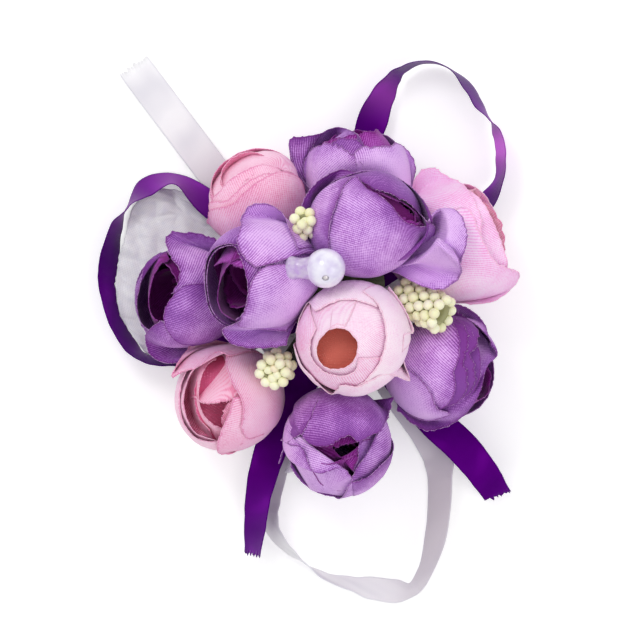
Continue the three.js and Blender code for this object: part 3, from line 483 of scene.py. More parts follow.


# Rosebuds

# place: the bud's middle in the cluster, level: from the ring to the crown, plan and tilt: its axis.
# A petal with a lip follows it from one side to the other. Each stop is read from straight above, as
# a column and row of the picture, and how far it stands off the bud there, in millimetres. A petal
# without one is plain: mid and half are degrees round the bud from the side that faces up, and top
# is a share of its length. layer counts the steps out from the wall (below 0 is inside). The rolls
# are the inner turns of the heart's strip, plain petals too: mid, half, top, layer, inset and tone.
# tone is how deep a petal's colour is, partly its dye and partly painted shade: raised on petals that lie in
# shade between buds, and higher on the inner turns and on the cloths across the hole deep in the heart
buds = {
    "centre_pink_bud": {
        "place": (0.097, -0.194), "level": 1, "plan": 223, "tilt": 64, "size": 1.05, "mouth": 0.4,
        "cloth": "pale", "petals": [
            {"mid": 180, "half": 110, "top": 0.9, "layer": 0, "tone": 0.4},
            {"layer": 0.6, "tone": 0.42, "grain": 20, "lip": [
                (330, 331), (338, 329), (347, 332), (355, 341), (356, 353), (349, 364), (337, 368),
                (325, 366), (318, 356), (319, 343), (326, 334, 0.11), (337, 326, 0.22), (345, 328, 0.22)]},
            {"layer": 1.2, "tone": 0.65, "grain": -30, "lip": [
                (317, 330, 0.11), (311, 343, 0.22), (313, 359, 0.28), (325, 371, 0.28), (341, 375, 0.22),
                (353, 371, 0.17), (358, 358, 0.11)]},
            {"layer": 1.6, "tone": 0.08, "grain": 35, "lip": [
                (297, 334), (301, 318, 0.22), (309, 304, 0.77), (316, 312, 0.44), (328, 306, 0.33),
                (345, 301, 0.28), (362, 303, 0.22), (376, 308, 0.17)]},
            {"layer": 2.1, "tone": 0.1, "grain": 60, "lip": [
                (362, 292, 0.17), (376, 304, 0.28), (383, 322, 0.33), (384, 342, 0.33), (379, 360, 0.33),
                (366, 378, 0.33), (352, 388, 0.17)]},
            {"layer": 2.5, "tone": 0.05, "grain": 20, "lip": [
                (388, 288, 0.06), (401, 306, 0.33), (412, 331, 0.77), (403, 336, 0.33), (401, 352, 0.06)]},
            {"layer": 2.7, "tone": 0.35, "grain": -40, "rough": 1.6, "lip": [
                (296, 348, 0.06), (302, 364, 0.33), (316, 380, 0.44), (331, 393, 0.77), (343, 384, 0.44),
                (358, 386, 0.44), (376, 376, 0.5), (392, 374, 0.55), (409, 380, 0.99), (403, 364, 0.17)]},
        ], "hearts": [
            {"mid": 0, "half": 112, "layer": -1.4, "tone": 1.5, "over": True, "rough": 0.6, "lip": [
                (350, 366, -4), (337, 372, -4.5), (323, 366, -4.5), (315, 352, -4.5), (319, 336, -4)]}
        ], "rolls": [
            (180, 184, 0.93, -0.7, 0.97, 0.1), (200, 184, 0.88, -1.2, 0.84, 0.2)]},
    "upper_centre_bud": {
        "place": (0.16, 0.411), "level": 1, "plan": 22, "tilt": 44, "size": 1.02, "mouth": 0.42,
        "cloth": "purple", "petals": [
            {"mid": 180, "half": 112, "layer": 0.6, "tone": 0.95, "over": True, "rough": 1.8, "lip": [
                (431, 232), (427, 222), (420, 214), (411, 205), (401, 198, 0.2), (390, 193, 0.3),
                (378, 190, 0.3), (366, 184, 0.2)]},
            {"mid": 190, "half": 85, "top": 0.9, "layer": 0, "tone": 0.8},
            {"layer": 0.9, "tone": 0.95, "grain": 10, "lip": [
                (350, 176, 0.2), (367, 172, 0.3), (388, 175, 0.2), (409, 186, 0.2), (425, 204, 0.2),
                (432, 219, 0.2), (431, 228, 0.1)]},
            {"layer": 1.2, "tone": 0.8, "grain": 50, "lip": [
                (304, 236), (301, 217, 0.4), (308, 196, 0.7), (322, 180, 0.8), (341, 171, 0.7),
                (358, 174, 0.3)]},
            {"layer": 2.0, "tone": 0.52, "grain": 38, "rough": 1.8, "lip": [
                (334, 262, 0.1), (330, 240, 0.2), (333, 218, 0.4), (341, 196, 0.5), (350, 181, 0.6),
                (357, 177, 0.5), (366, 188, 0.3), (379, 195, 0.1), (391, 204), (401, 215), (410, 223),
                (421, 226, 0.2), (431, 223, 0.5), (434, 238, 0.2), (426, 256)]},
        ], "hearts": [
            {"mid": 0, "half": 100, "layer": -0.4, "tone": 0.1, "over": True, "rough": 2.4, "lip": [
                (372, 190, -0.8), (381, 196, -1.5), (389, 205, -2), (397, 213, -2), (406, 219, -1.5),
                (415, 223, -1), (426, 228, -0.5)]},
            {"mid": 180, "half": 105, "layer": -0.2, "tone": 0.0, "over": True, "rough": 2.4, "lip": [
                (429, 230, -0.8), (422, 220, -1.5), (413, 210, -2), (403, 203, -2), (391, 198, -1.5),
                (380, 193, -1), (369, 188, -0.5)]},
            {"mid": 0, "half": 110, "layer": -0.8, "tone": 0.9, "over": True, "rough": 1.5, "lip": [
                (372, 188, -4), (386, 195, -5), (398, 202, -5.5), (408, 211, -5.5), (417, 220, -5),
                (424, 230, -4)]}
        ], "rolls": [
            (180, 150, 0.93, -1.2, 0.85, 0.55), (0, 175, 0.85, -1.6, 0.45, 0.9)]},
    "left_centre_bud": {
        "place": (-0.395, 0.136), "level": 1, "plan": 188, "tilt": 36, "size": 1, "mouth": 0.72,
        "cloth": "purple", "petals": [
            {"mid": 190, "half": 90, "top": 0.88, "layer": 0, "tone": 0.55},
            {"layer": 0.5, "tone": 0.75, "lip": [
                (237, 247), (226, 247, 0.1), (216, 252, 0.2), (209, 263, 0.2), (207, 279, 0.2),
                (208, 294, 0.2), (212, 309, 0.2), (221, 320, 0.1), (233, 326)]},
            {"layer": 1.0, "tone": 0.55, "grain": 50, "lip": [
                (230, 243), (238, 254), (243, 268), (246, 284), (246, 299), (243, 311), (235, 319)]},
            {"layer": 1.5, "tone": 0.6, "lip": [
                (238, 246, 0.1), (226, 245, 0.3), (214, 250, 0.4), (207, 261, 0.4), (205, 278, 0.4),
                (206, 294, 0.4), (210, 310, 0.4), (220, 322, 0.3), (232, 328)]},
            {"layer": 1.9, "tone": 0.3, "grain": 20, "lip": [
                (243, 319, 0.1), (230, 324, 0.4), (222, 329, 0.6), (226, 338, 0.5), (240, 345, 0.4),
                (262, 347, 0.1), (286, 344)]},
            {"layer": 2.3, "tone": 0.15, "grain": 28, "lip": [
                (266, 266, 0.8), (255, 274, 1.0), (248, 288, 0.9), (246, 303, 0.8), (240, 317, 0.8),
                (238, 325, 0.6), (258, 328, 0.5), (286, 330, 0.3)]},
            {"layer": 3.0, "tone": 0.12, "grain": 40, "chevron": True, "fullness": 0.75, "lip": [
                (296, 250, 0.5), (289, 232, 2.0), (281, 214, 3.2), (265, 205, 3.8), (250, 207, 3.4),
                (242, 217, 2.6), (240, 230, 2.0), (236, 243, 1.4), (242, 257, 0.8), (254, 268, 0.3)]},
        ], "hearts": [
            {"mid": 170, "half": 95, "layer": -0.3, "tone": 0.35, "over": True, "rough": 1.6, "lip": [
                (240, 258), (231, 262, -1.2), (224, 272, -2), (219, 286, -2.5), (218, 300, -2.5),
                (222, 312, -2), (232, 319, -0.6)]},
            {"mid": 90, "half": 70, "layer": -0.4, "tone": -0.1, "over": True, "rough": 1.6, "lip": [
                (243, 268), (237, 266, -0.8), (230, 263, -1.2), (222, 262, -1.2), (214, 266, -0.6)]}
        ], "rolls": [
            (60, 130, 0.86, -1.0, 0.86, 0.6), (-70, 120, 0.84, -1.4, 0.66, 0.75),
            (100, 160, 0.74, -1.8, 0.42, 0.95)]},
    "top_bud": {
        "place": (0.13, 0.645), "level": 0, "plan": 98, "tilt": 10, "size": 0.97, "mouth": 0.5,
        "cloth": "purple", "petals": [
            {"mid": 180, "half": 120, "top": 0.9, "layer": 0, "tone": 0.6},
            {"layer": 0.6, "tone": 0.6, "lip": [
                (318, 137), (327, 130, 0.6), (338, 127, 0.9), (349, 129, 0.9), (359, 136, 0.5), (364, 146)]},
            {"layer": 1.0, "tone": 0.7, "rough": 1.6, "lip": [
                (330, 146, 0.2), (336, 140, 0.4), (346, 138, 0.5), (357, 140, 0.5), (366, 148, 0.2)]},
            {"layer": 1.6, "tone": 0.1, "grain": 50, "rough": 1.8, "lip": [
                (306, 178, 0.1), (305, 165, 0.3), (310, 153, 0.5), (320, 145, 0.6), (331, 143, 0.5),
                (342, 147, 0.5), (355, 157, 0.6), (367, 169, 0.5)]},
            {"layer": 1.9, "tone": -0.15, "grain": 15, "rough": 1.6, "lip": [
                (356, 164, 0.2), (355, 152, 0.6), (362, 146, 0.8), (374, 147, 0.8), (386, 146, 0.8),
                (398, 143, 1.2), (404, 149, 0.7), (412, 158, 0.5), (414, 168, 0.3), (412, 179, 0.1),
                (406, 188)]},
            {"layer": 2.3, "tone": 0.55, "grain": 10, "fullness": 1.2, "lip": [
                (313, 190), (304, 179, 0.6), (295, 163, 1.2), (291, 139, 2.0), (304, 136, 1.6),
                (316, 134, 1.0), (325, 132, 0.5)]},
        ], "hearts": [], "rolls": [
            (20, 150, 1.0, -0.8, 0.9, 0.1), (180, 150, 0.97, -1.2, 0.7, 0.3),
            (0, 175, 0.86, -1.5, 0.35, 0.9)]},
    "upper_left_pink_bud": {
        "place": (-0.41, 0.545), "level": 0, "plan": 118, "tilt": 34, "size": 0.96, "mouth": 0.38,
        "cloth": "pink", "petals": [
            {"mid": 180, "half": 116, "layer": 0.3, "tone": 0.1, "over": True, "grain": 60, "lip": [
                (286, 172, 0.2), (274, 168, 0.2), (262, 170, 0.1), (250, 177, 0.1), (240, 185, 0.1),
                (230, 193, 0.1), (221, 198, 0.1), (212, 204)]},
            {"mid": 200, "half": 120, "top": 0.86, "layer": 0, "tone": 0.6},
            {"layer": 0.8, "tone": 0.2, "grain": 10, "lip": [
                (213, 197), (222, 188, 0.2), (231, 178, 0.2), (243, 170, 0.2), (256, 165, 0.2),
                (268, 165, 0.2), (279, 170, 0.2), (288, 180)]},
            {"layer": 1.4, "tone": 0.2, "grain": -20, "lip": [
                (211, 214), (210, 203, 0.3), (217, 200, 0.4), (226, 200, 0.3), (234, 193, 0.1), (243, 184),
                (256, 176), (268, 172)]},
            {"layer": 2.0, "tone": 0.3, "grain": 42, "lip": [
                (208, 222), (211, 209, 0.3), (221, 206, 0.4), (232, 203, 0.3), (241, 195, 0.2),
                (250, 186, 0.1), (261, 178), (271, 173), (282, 171, 0.2), (296, 176, 0.1), (306, 188)]},
        ], "hearts": [
            {"layer": -0.4, "tone": 0.1, "lip": [
                (219, 194), (228, 192), (237, 184), (248, 177), (260, 171), (270, 168)]}
        ], "rolls": [
            (180, 150, 0.94, -1.2, 0.8, 0.5), (0, 175, 0.88, -1.6, 0.45, 0.7)]},
    "right_pink_bud": {
        "place": (0.63, 0.315), "level": 0.12, "plan": 12, "tilt": 22, "size": 1.13, "mouth": 0.6,
        "cloth": "blush", "petals": [
            {"mid": 180, "half": 110, "top": 0.78, "layer": 0, "tone": 0.6},
            {"layer": 0.6, "tone": 0.45, "lip": [
                (462, 188), (473, 193, 0.4), (483, 202, 0.5), (491, 214, 0.5), (498, 230, 0.5),
                (504, 246, 0.6), (508, 260, 0.6), (507, 272, 0.3)]},
            {"layer": 1.3, "tone": 0.45, "rough": 1.4, "lip": [
                (409, 200), (416, 180, 0.2), (424, 171, 0.6), (437, 170, 1.0), (447, 177, 0.7),
                (461, 183, 0.9), (472, 195, 0.6), (479, 208, 0.3), (483, 222), (482, 238)]},
            {"layer": 1.7, "tone": 0.42, "rough": 1.2, "lip": [
                (452, 214, 0.2), (462, 208, 0.4), (473, 212, 0.4), (479, 228, 0.3), (487, 246, 0.4),
                (499, 262, 0.6), (520, 273, 1.2), (511, 288, 0.8), (493, 300, 0.4), (470, 303)]},
        ], "hearts": [], "rolls": [
            (0, 140, 0.86, -0.9, 0.95, 0.2), (150, 130, 0.86, -1.3, 0.75, 0.3),
            (0, 175, 0.8, -1.7, 0.5, 0.6)]},
    "far_left_bud": {
        "place": (-0.815, 0.011), "level": 0, "plan": 186, "tilt": 34, "size": 0.95, "mouth": 0.58,
        "cloth": "purple", "petals": [
            {"mid": 180, "half": 95, "top": 0.8, "layer": 0, "tone": 0.9},
            {"layer": 0.6, "tone": 0.95, "lip": [
                (160, 254), (151, 260, 0.4), (144, 268, 0.6), (140, 285, 0.8), (137, 304, 0.8),
                (141, 322, 0.6), (151, 331)]},
            {"layer": 1.3, "tone": 0.62, "grain": 20, "lip": [
                (160, 320), (149, 328, 0.6), (145, 340, 0.8), (150, 353, 0.6), (161, 361, 0.2), (182, 360),
                (200, 352)]},
            {"layer": 1.9, "tone": 0.4, "grain": 50, "rough": 1.4, "lip": [
                (216, 242), (199, 235, 0.3), (183, 234, 0.8), (172, 233, 1.6), (166, 240, 1.2),
                (168, 252, 0.4), (174, 262, 0.1), (179, 271), (178, 283), (171, 294)]},
            {"layer": 2.5, "tone": 0.65, "grain": 32, "lip": [
                (182, 286, 0.1), (171, 297, 0.5), (164, 308, 0.8), (163, 321, 0.8), (168, 333, 0.6),
                (178, 342, 0.3), (192, 345, 0.1)]},
        ], "hearts": [
            {"mid": 180, "half": 95, "layer": -0.2, "tone": 0.5, "over": True, "rough": 1.8, "lip": [
                (170, 259), (161, 264, -0.8), (154, 275, -1.4), (150, 290, -1.6), (149, 305, -1.4),
                (153, 317, -0.8), (162, 324)]}
        ], "rolls": [
            (0, 150, 0.8, -0.9, 0.9, 0.6), (180, 150, 0.74, -1.3, 0.66, 0.8),
            (0, 175, 0.62, -1.7, 0.4, 1.0)]},
    "lower_left_pink_bud": {
        "place": (-0.58, -0.535), "level": 0, "plan": 190, "tilt": 44, "size": 1, "mouth": 0.74,
        "cloth": "pink", "petals": [
            {"mid": 180, "half": 100, "top": 0.7, "layer": 0, "tone": 0.3},
            {"layer": 0.6, "tone": -0.35, "lip": [
                (200, 364), (191, 373, 0.3), (186, 387, 0.6), (184, 401, 0.7), (187, 418, 0.7),
                (194, 431, 0.5), (206, 437, 0.3)]},
            {"layer": 1.2, "tone": -0.35, "lip": [
                (186, 372), (181, 388, 0.5), (180, 404, 0.7), (183, 420, 0.7), (191, 433, 0.5),
                (204, 440, 0.3), (218, 441)]},
            {"layer": 1.5, "tone": 0.2, "grain": 20, "lip": [
                (232, 398), (229, 410, 0.2), (224, 422, 0.4), (219, 433, 0.8), (216, 446, 1.2),
                (221, 453, 1.2), (232, 452, 0.8), (240, 443, 0.3)]},
            {"layer": 2.0, "tone": 0.12, "grain": 42, "lip": [
                (226, 350, 0.1), (225, 362, 0.2), (227, 374, 0.3), (233, 387, 0.4), (240, 399, 0.5),
                (242, 413, 0.5), (240, 427, 0.4), (247, 438, 0.3), (262, 434)]},
            {"layer": 2.6, "tone": 0.18, "grain": 10, "rough": 1.8, "lip": [
                (228, 357, 0.3), (219, 353, 0.6), (211, 356, 0.8), (203, 364, 1.0), (194, 370, 1.4),
                (184, 372, 1.8), (172, 378, 2.4), (178, 364, 1.2), (189, 349, 0.5), (203, 338)]},
        ], "hearts": [
            {"mid": 0, "half": 112, "layer": -1.0, "tone": 1.3, "over": True, "rough": 1.0, "lip": [
                (210, 430, -2), (200, 419, -3), (195, 402, -3.4), (196, 384, -3.4), (204, 368, -3)]},
            {"mid": 90, "half": 85, "layer": -0.4, "tone": 0.1, "over": True, "rough": 1.4, "lip": [
                (238, 394), (231, 400, -0.3), (221, 402, -0.6), (210, 403, -0.6), (201, 402, -0.3),
                (195, 396)]},
            {"mid": 185, "half": 90, "layer": -0.2, "tone": 0.0, "over": True, "rough": 1.6, "lip": [
                (216, 358), (208, 364, -0.5), (202, 374, -1), (199, 388, -1), (199, 402, -1),
                (203, 414, -0.8), (212, 424, -0.4), (222, 428)]},
            {"mid": -30, "half": 60, "layer": -0.6, "tone": 0.25, "over": True, "rough": 1.4, "lip": [
                (226, 430), (222, 422, -0.6), (224, 412, -0.8), (229, 403, -0.6), (236, 396)]}
        ], "rolls": [
            (-20, 120, 0.72, -1.0, 0.85, 0.3), (180, 120, 0.82, -1.4, 0.75, 0.5),
            (0, 175, 0.6, -1.7, 0.5, 0.8)]},
    "bottom_bud": {
        "place": (0.011, -0.774), "level": 0.2, "plan": 294, "tilt": 56, "size": 1.03, "mouth": 0.42,
        "cloth": "purple", "petals": [
            {"mid": 180, "half": 90, "top": 0.7, "layer": 0, "tone": 0.5},
            {"layer": 0.6, "tone": 0.6, "rough": 1.6, "lip": [
                (388, 418), (378, 430, 0.1), (367, 438, 0.1), (359, 447, 0.1), (358, 460), (352, 472)]},
            {"layer": 1.1, "tone": 0.85, "grain": 30, "lip": [
                (326, 398), (317, 412, 0.2), (309, 427, 0.4), (303, 434, 0.5), (291, 442, 0.6),
                (284, 452, 0.5), (280, 464)]},
            {"layer": 1.4, "tone": 0.25, "grain": 10, "rough": 1.4, "lip": [
                (283, 440, 0.2), (293, 446, 0.5), (304, 449, 0.4), (308, 459, 0.2), (313, 470, 0.2),
                (322, 474, 0.3), (334, 470, 0.3), (344, 469, 0.3), (352, 478, 0.5), (348, 487, 0.2)]},
            {"layer": 1.9, "tone": 0.6, "grain": -20, "rough": 1.8, "lip": [
                (392, 398), (387, 414, 0.2), (380, 429, 0.3), (374, 443, 0.3), (366, 456, 0.3),
                (357, 468, 0.3), (352, 481, 0.5), (367, 477, 0.4), (384, 462, 0.2)]},
            {"layer": 2.4, "tone": 0.8, "grain": 48, "rough": 1.8, "lip": [
                (322, 392, 0.1), (315, 410, 0.2), (308, 427, 0.4), (303, 435, 0.6), (312, 445, 0.4),
                (325, 446, 0.2), (336, 442, 0.1), (348, 437, 0.1), (358, 443, 0.2), (368, 438, 0.3),
                (380, 431, 0.3), (388, 412, 0.1)]},
        ], "hearts": [
            {"mid": 180, "half": 100, "layer": -0.3, "tone": 0.2, "inset": 0.84,
             "over": True, "rough": 1.8, "lip": [
                (300, 444), (308, 456, -0.5), (318, 463, -1), (330, 464, -1), (342, 460, -1),
                (351, 457, -0.5), (358, 452)]},
            {"mid": 90, "half": 70, "layer": -0.3, "tone": 0.2, "inset": 0.86,
             "over": True, "rough": 1.8, "lip": [
                (352, 470), (356, 460, -0.5), (357, 451, -0.8), (360, 445, -0.5), (366, 438)]},
            {"mid": 0, "half": 100, "layer": -0.4, "tone": 0.2, "inset": 0.84,
             "over": True, "rough": 1.8, "lip": [
                (366, 440), (356, 442, -0.8), (345, 444, -1.2), (334, 446, -1.2), (322, 447, -1.2),
                (312, 444, -0.8), (304, 440)]}
        ], "rolls": [
            (180, 150, 0.9, -1.2, 0.85, 0.6), (0, 175, 0.84, -1.6, 0.45, 0.9)]},
    "lower_right_bud": {
        "place": (0.585, -0.369), "level": 0.06, "plan": 4, "tilt": 34, "size": 1, "mouth": 0.48,
        "cloth": "purple", "petals": [
            {"mid": 180, "half": 110, "top": 0.8, "layer": 0, "tone": 0.9},
            {"layer": 0.6, "tone": 1.0, "lip": [
                (457, 322), (466, 326, 0.3), (474, 336, 0.5), (480, 350, 0.6), (482, 364, 0.6),
                (480, 380, 0.5), (472, 394, 0.3), (460, 402)]},
            {"layer": 1.7, "tone": 1.25, "grain": 70, "rough": 2.4, "lip": [
                (450, 316), (463, 326), (469, 339, 0.1), (467, 352, 0.1), (463, 362, 0.1), (467, 374, 0.1),
                (467, 389, 0.1), (458, 402)]},
            {"layer": 1.35, "tone": 1.15, "grain": 15, "rough": 2.4, "lip": [
                (456, 314), (469, 321), (479, 333, 0.1), (477, 345, 0.1), (471, 352, 0.1), (474, 364, 0.1),
                (476, 378, 0.1), (470, 393)]},
            {"layer": 1.2, "tone": 0.75, "grain": 10, "rough": 1.6, "lip": [
                (485, 372), (482, 388, 0.4), (474, 403, 0.6), (462, 416, 0.6), (448, 424, 0.6),
                (432, 429, 0.6), (412, 421, 0.3), (398, 408)]},
            {"layer": 1.5, "tone": 0.5, "grain": 30, "rough": 1.4, "lip": [
                (446, 304), (460, 307, 0.3), (473, 313, 0.6), (484, 324, 0.8), (490, 340, 1.0),
                (497, 355, 1.8), (488, 366, 0.8), (484, 378, 0.1)]},
            {"layer": 2.0, "tone": 0.35, "grain": 46, "lip": [
                (452, 322, 0.1), (459, 334, 0.2), (461, 348, 0.2), (459, 362, 0.2), (455, 372, 0.2),
                (457, 386, 0.3), (453, 398, 0.4), (441, 409, 0.4), (430, 412, 0.1)]},
            {"layer": 2.6, "tone": 0.0, "grain": 30, "lip": [
                (398, 362, 0.1), (412, 371, 0.3), (424, 381, 0.4), (433, 393, 0.5), (439, 408, 0.6),
                (451, 412, 0.5), (440, 418, 0.4), (425, 419, 0.2), (408, 412)]},
        ], "hearts": [], "rolls": [
            (60, 130, 0.88, -0.9, 0.9, 0.3), (-60, 130, 0.84, -1.3, 0.72, 0.4),
            (0, 175, 0.72, -1.6, 0.45, 0.7)]},
}
picture = {"pixel": 0.000295, "column": 335, "row": 300, "highest": 0.07, "looks": 701}
wall = {"foot": 0.16, "belly": 0.5, "footCurve": 0.7, "mouthCurve": 1.5, "slopeStep": 0.03}
dents = {"angleStep": 5, "heightStep": 0.05, "highest": 1.15, "shares": 29, "least": 0.3, "ownLayers": 2.4,
         "otherLayers": 2.6, "otherFrom": -0.03, "otherTo": 1.06}
petalCut = {
    "thickness": 0.00024, "columns": 91, "rows": 28, "lipSamples": 400, "rowEase": 1.5, "foot": 0.05,
    "firstLayer": 0.8, "layerShare": 0.66, "liftShare": 0.75, "roundness": 0.16, "roundCurve": 2.6,
    "pucker": (0.014, 4, 5.0), "puckerEnd": (0.6, 6), "frayTeeth": 80, "frayLength": 0.00045,
    "ragged": (0.00035, 8, 3.0), "rollFrom": 0.88, "rollDrop": 0.6, "shoulder": 0.94, "crossFrom": 0.7,
    "crossEase": 1.7, "dome": 0.1, "innerCrossFrom": 0.4, "innerCrossEase": 1.2, "innerLeave": 5,
    "rimDepth": 4.0, "bellyTone": 0.12}
heartCut = {"foot": 0.3, "curl": 0.06, "wave": 0.03}
# each cloth's petals and hearts, and how much deeper it is dyed at its cut edge
cloths = {
    "purple": (petalCloths["purple_petal"], "purple_petal", petalCloths["purple_heart"], "purple_heart", 0.62),
    "pink": (petalCloths["pink_petal"], "pink_petal", petalCloths["rose_heart"], "pink_heart", 0.2),
    "pale": (petalCloths["pale_petal"], "pale_petal", petalCloths["salmon_heart"], "pink_heart", -0.15),
    "blush": (petalCloths["blush_petal"], "pale_petal", petalCloths["rose_heart"], "pink_heart", 0.1),
}


def lengthOf(bud):
    return spray["budLength"] * bud["size"]


def budFrame(bud):
    axis = direction(bud["plan"], bud["tilt"])
    face = direction(bud["plan"] + 180, 90 - bud["tilt"])
    middle = placeAt(*bud["place"], blend(spray["ringHeight"], spray["crownHeight"], bud["level"]))
    foot = middle - axis * lengthOf(bud) / 2
    return foot, np.array([face, np.cross(axis, face), axis])


def wallRadius(bud, height):
    belly = wall["belly"]
    below = np.sin(math.pi / 2 * (np.clip(height, 0, belly) / belly) ** wall["footCurve"])
    past = np.clip((height - belly) / (1 - belly), 0, 1)
    above = np.cos(math.pi / 2 * past ** wall["mouthCurve"])
    share = np.where(height < belly, blend(wall["foot"], 1, below), blend(bud["mouth"], 1, above))
    return spray["budRadius"] * bud["size"] * share


def wallPoint(bud, height, outside):
    # square to the wall: how far from the axis and how high
    length, step = lengthOf(bud), wall["slopeStep"]
    low, high = np.maximum(height - step, 0), np.minimum(height + step, 1)
    rise = length * (high - low)
    run = wallRadius(bud, high) - wallRadius(bud, low)
    slope = np.hypot(rise, run)
    return wallRadius(bud, height) + outside * rise / slope, length * height - outside * run / slope


def inBudFrame(bud, points):
    foot, axes = budFrame(bud)
    return points @ axes + foot


def insideBud(bud, points, gap):
    foot, axes = budFrame(bud)
    local = (points - foot) @ axes.T
    height = local[..., 2] / lengthOf(bud)
    radius = np.hypot(local[..., 0], local[..., 1])
    inside = radius < wallRadius(bud, np.clip(height, 0, 1)) + gap
    return inside & (height > dents["otherFrom"]) & (height < dents["otherTo"])


def dentTable(bud, earlier):
    # how much of a bud's width is free of the buds in front of it, round it and up it
    angles = np.radians(np.arange(-180, 181, dents["angleStep"]))
    heights = np.linspace(0, dents["highest"], round(dents["highest"] / dents["heightStep"]) + 1)
    shares = np.linspace(1, dents["least"], dents["shares"])
    outer = wallRadius(bud, np.clip(heights, 0, 1)) + dents["ownLayers"] * spray["layerStep"]
    radius = (shares[:, None] * outer)[:, :, None] * np.ones(len(angles))
    local = np.stack([radius * np.cos(angles), radius * np.sin(angles),
                      (heights * lengthOf(bud))[None, :, None] * np.ones_like(radius)], axis=-1)
    points = inBudFrame(bud, local)
    blocked = np.zeros(points.shape[:3], bool)
    for other in earlier:
        blocked |= insideBud(other, points, dents["otherLayers"] * spray["layerStep"])
    free = np.where(blocked.all(axis=0), shares[-1], shares[np.argmin(blocked, axis=0)])
    wide = np.minimum(np.roll(free[:, :-1], 1, 1), np.roll(free[:, :-1], -1, 1))
    free = np.minimum(free, np.hstack([wide, wide[:, :1]]))
    free[1:-1] = np.minimum(free[1:-1], np.minimum(free[:-2], free[2:]))
    for _ in range(2):
        ring = free[:, :-1]
        ring = (np.roll(ring, 1, 1) + 2 * ring + np.roll(ring, -1, 1)) / 4
        free = np.hstack([ring, ring[:, :1]])
        free[1:-1] = (free[:-2] + 2 * free[1:-1] + free[2:]) / 4
    return free


def dent(table, angle, height):
    column = np.mod(angle + 180, 360) / dents["angleStep"]
    row = np.clip(height, 0, dents["highest"]) / dents["heightStep"]
    c0 = np.floor(column).astype(int) % (table.shape[1] - 1)
    r0 = np.clip(np.floor(row).astype(int), 0, table.shape[0] - 2)
    cf, rf = column - np.floor(column), row - r0
    return (table[r0, c0] * (1 - cf) * (1 - rf) + table[r0, c0 + 1] * cf * (1 - rf)
            + table[r0 + 1, c0] * (1 - cf) * rf + table[r0 + 1, c0 + 1] * cf * rf)


def wallOut(layer):
    # how far a layer of cloth lies outside the bud's wall
    return spray["layerStep"] * (petalCut["firstLayer"] + petalCut["layerShare"] * layer)


def seenPoint(bud, layer, column, row, lift=0):
    # the point under a column and row of the picture, on the bud's wall or nearest to it
    foot, axes = budFrame(bud)
    length = lengthOf(bud)
    z = np.linspace(0, picture["highest"], picture["looks"])
    x = np.full_like(z, (column - picture["column"]) * picture["pixel"])
    y = np.full_like(z, (picture["row"] - row) * picture["pixel"])
    local = (np.column_stack([x, y, z]) - foot) @ axes.T
    height = local[:, 2] / length
    over = np.hypot(local[:, 0], local[:, 1]) - wallRadius(bud, np.clip(height, 0, 1)) - wallOut(layer)
    away = np.hypot(np.maximum(over, 0), length * (np.maximum(height - 1, 0) + np.maximum(-height, 0)))
    onBud = np.nonzero(away < 1e-7)[0]
    pick = onBud[-1] if len(onBud) else int(np.argmin(away))
    return local[pick] + axes[:, 2] * petalCut["liftShare"] * lift / 1000


def lipThrough(bud, stops, layer, columns):
    # the lip as angle, height and distance from the axis, evenly spaced along the cloth's edge
    curve, _ = curveThrough([seenPoint(bud, layer, *stop) for stop in stops], petalCut["lipSamples"])
    run = np.concatenate([[0], np.cumsum(np.linalg.norm(np.diff(curve, axis=0), axis=1))])
    even = np.linspace(0, run[-1], columns)
    x, y, z = (np.interp(even, run, curve[:, k]) for k in range(3))
    return np.degrees(np.unwrap(np.arctan2(y, x))), z / lengthOf(bud), np.hypot(x, y)


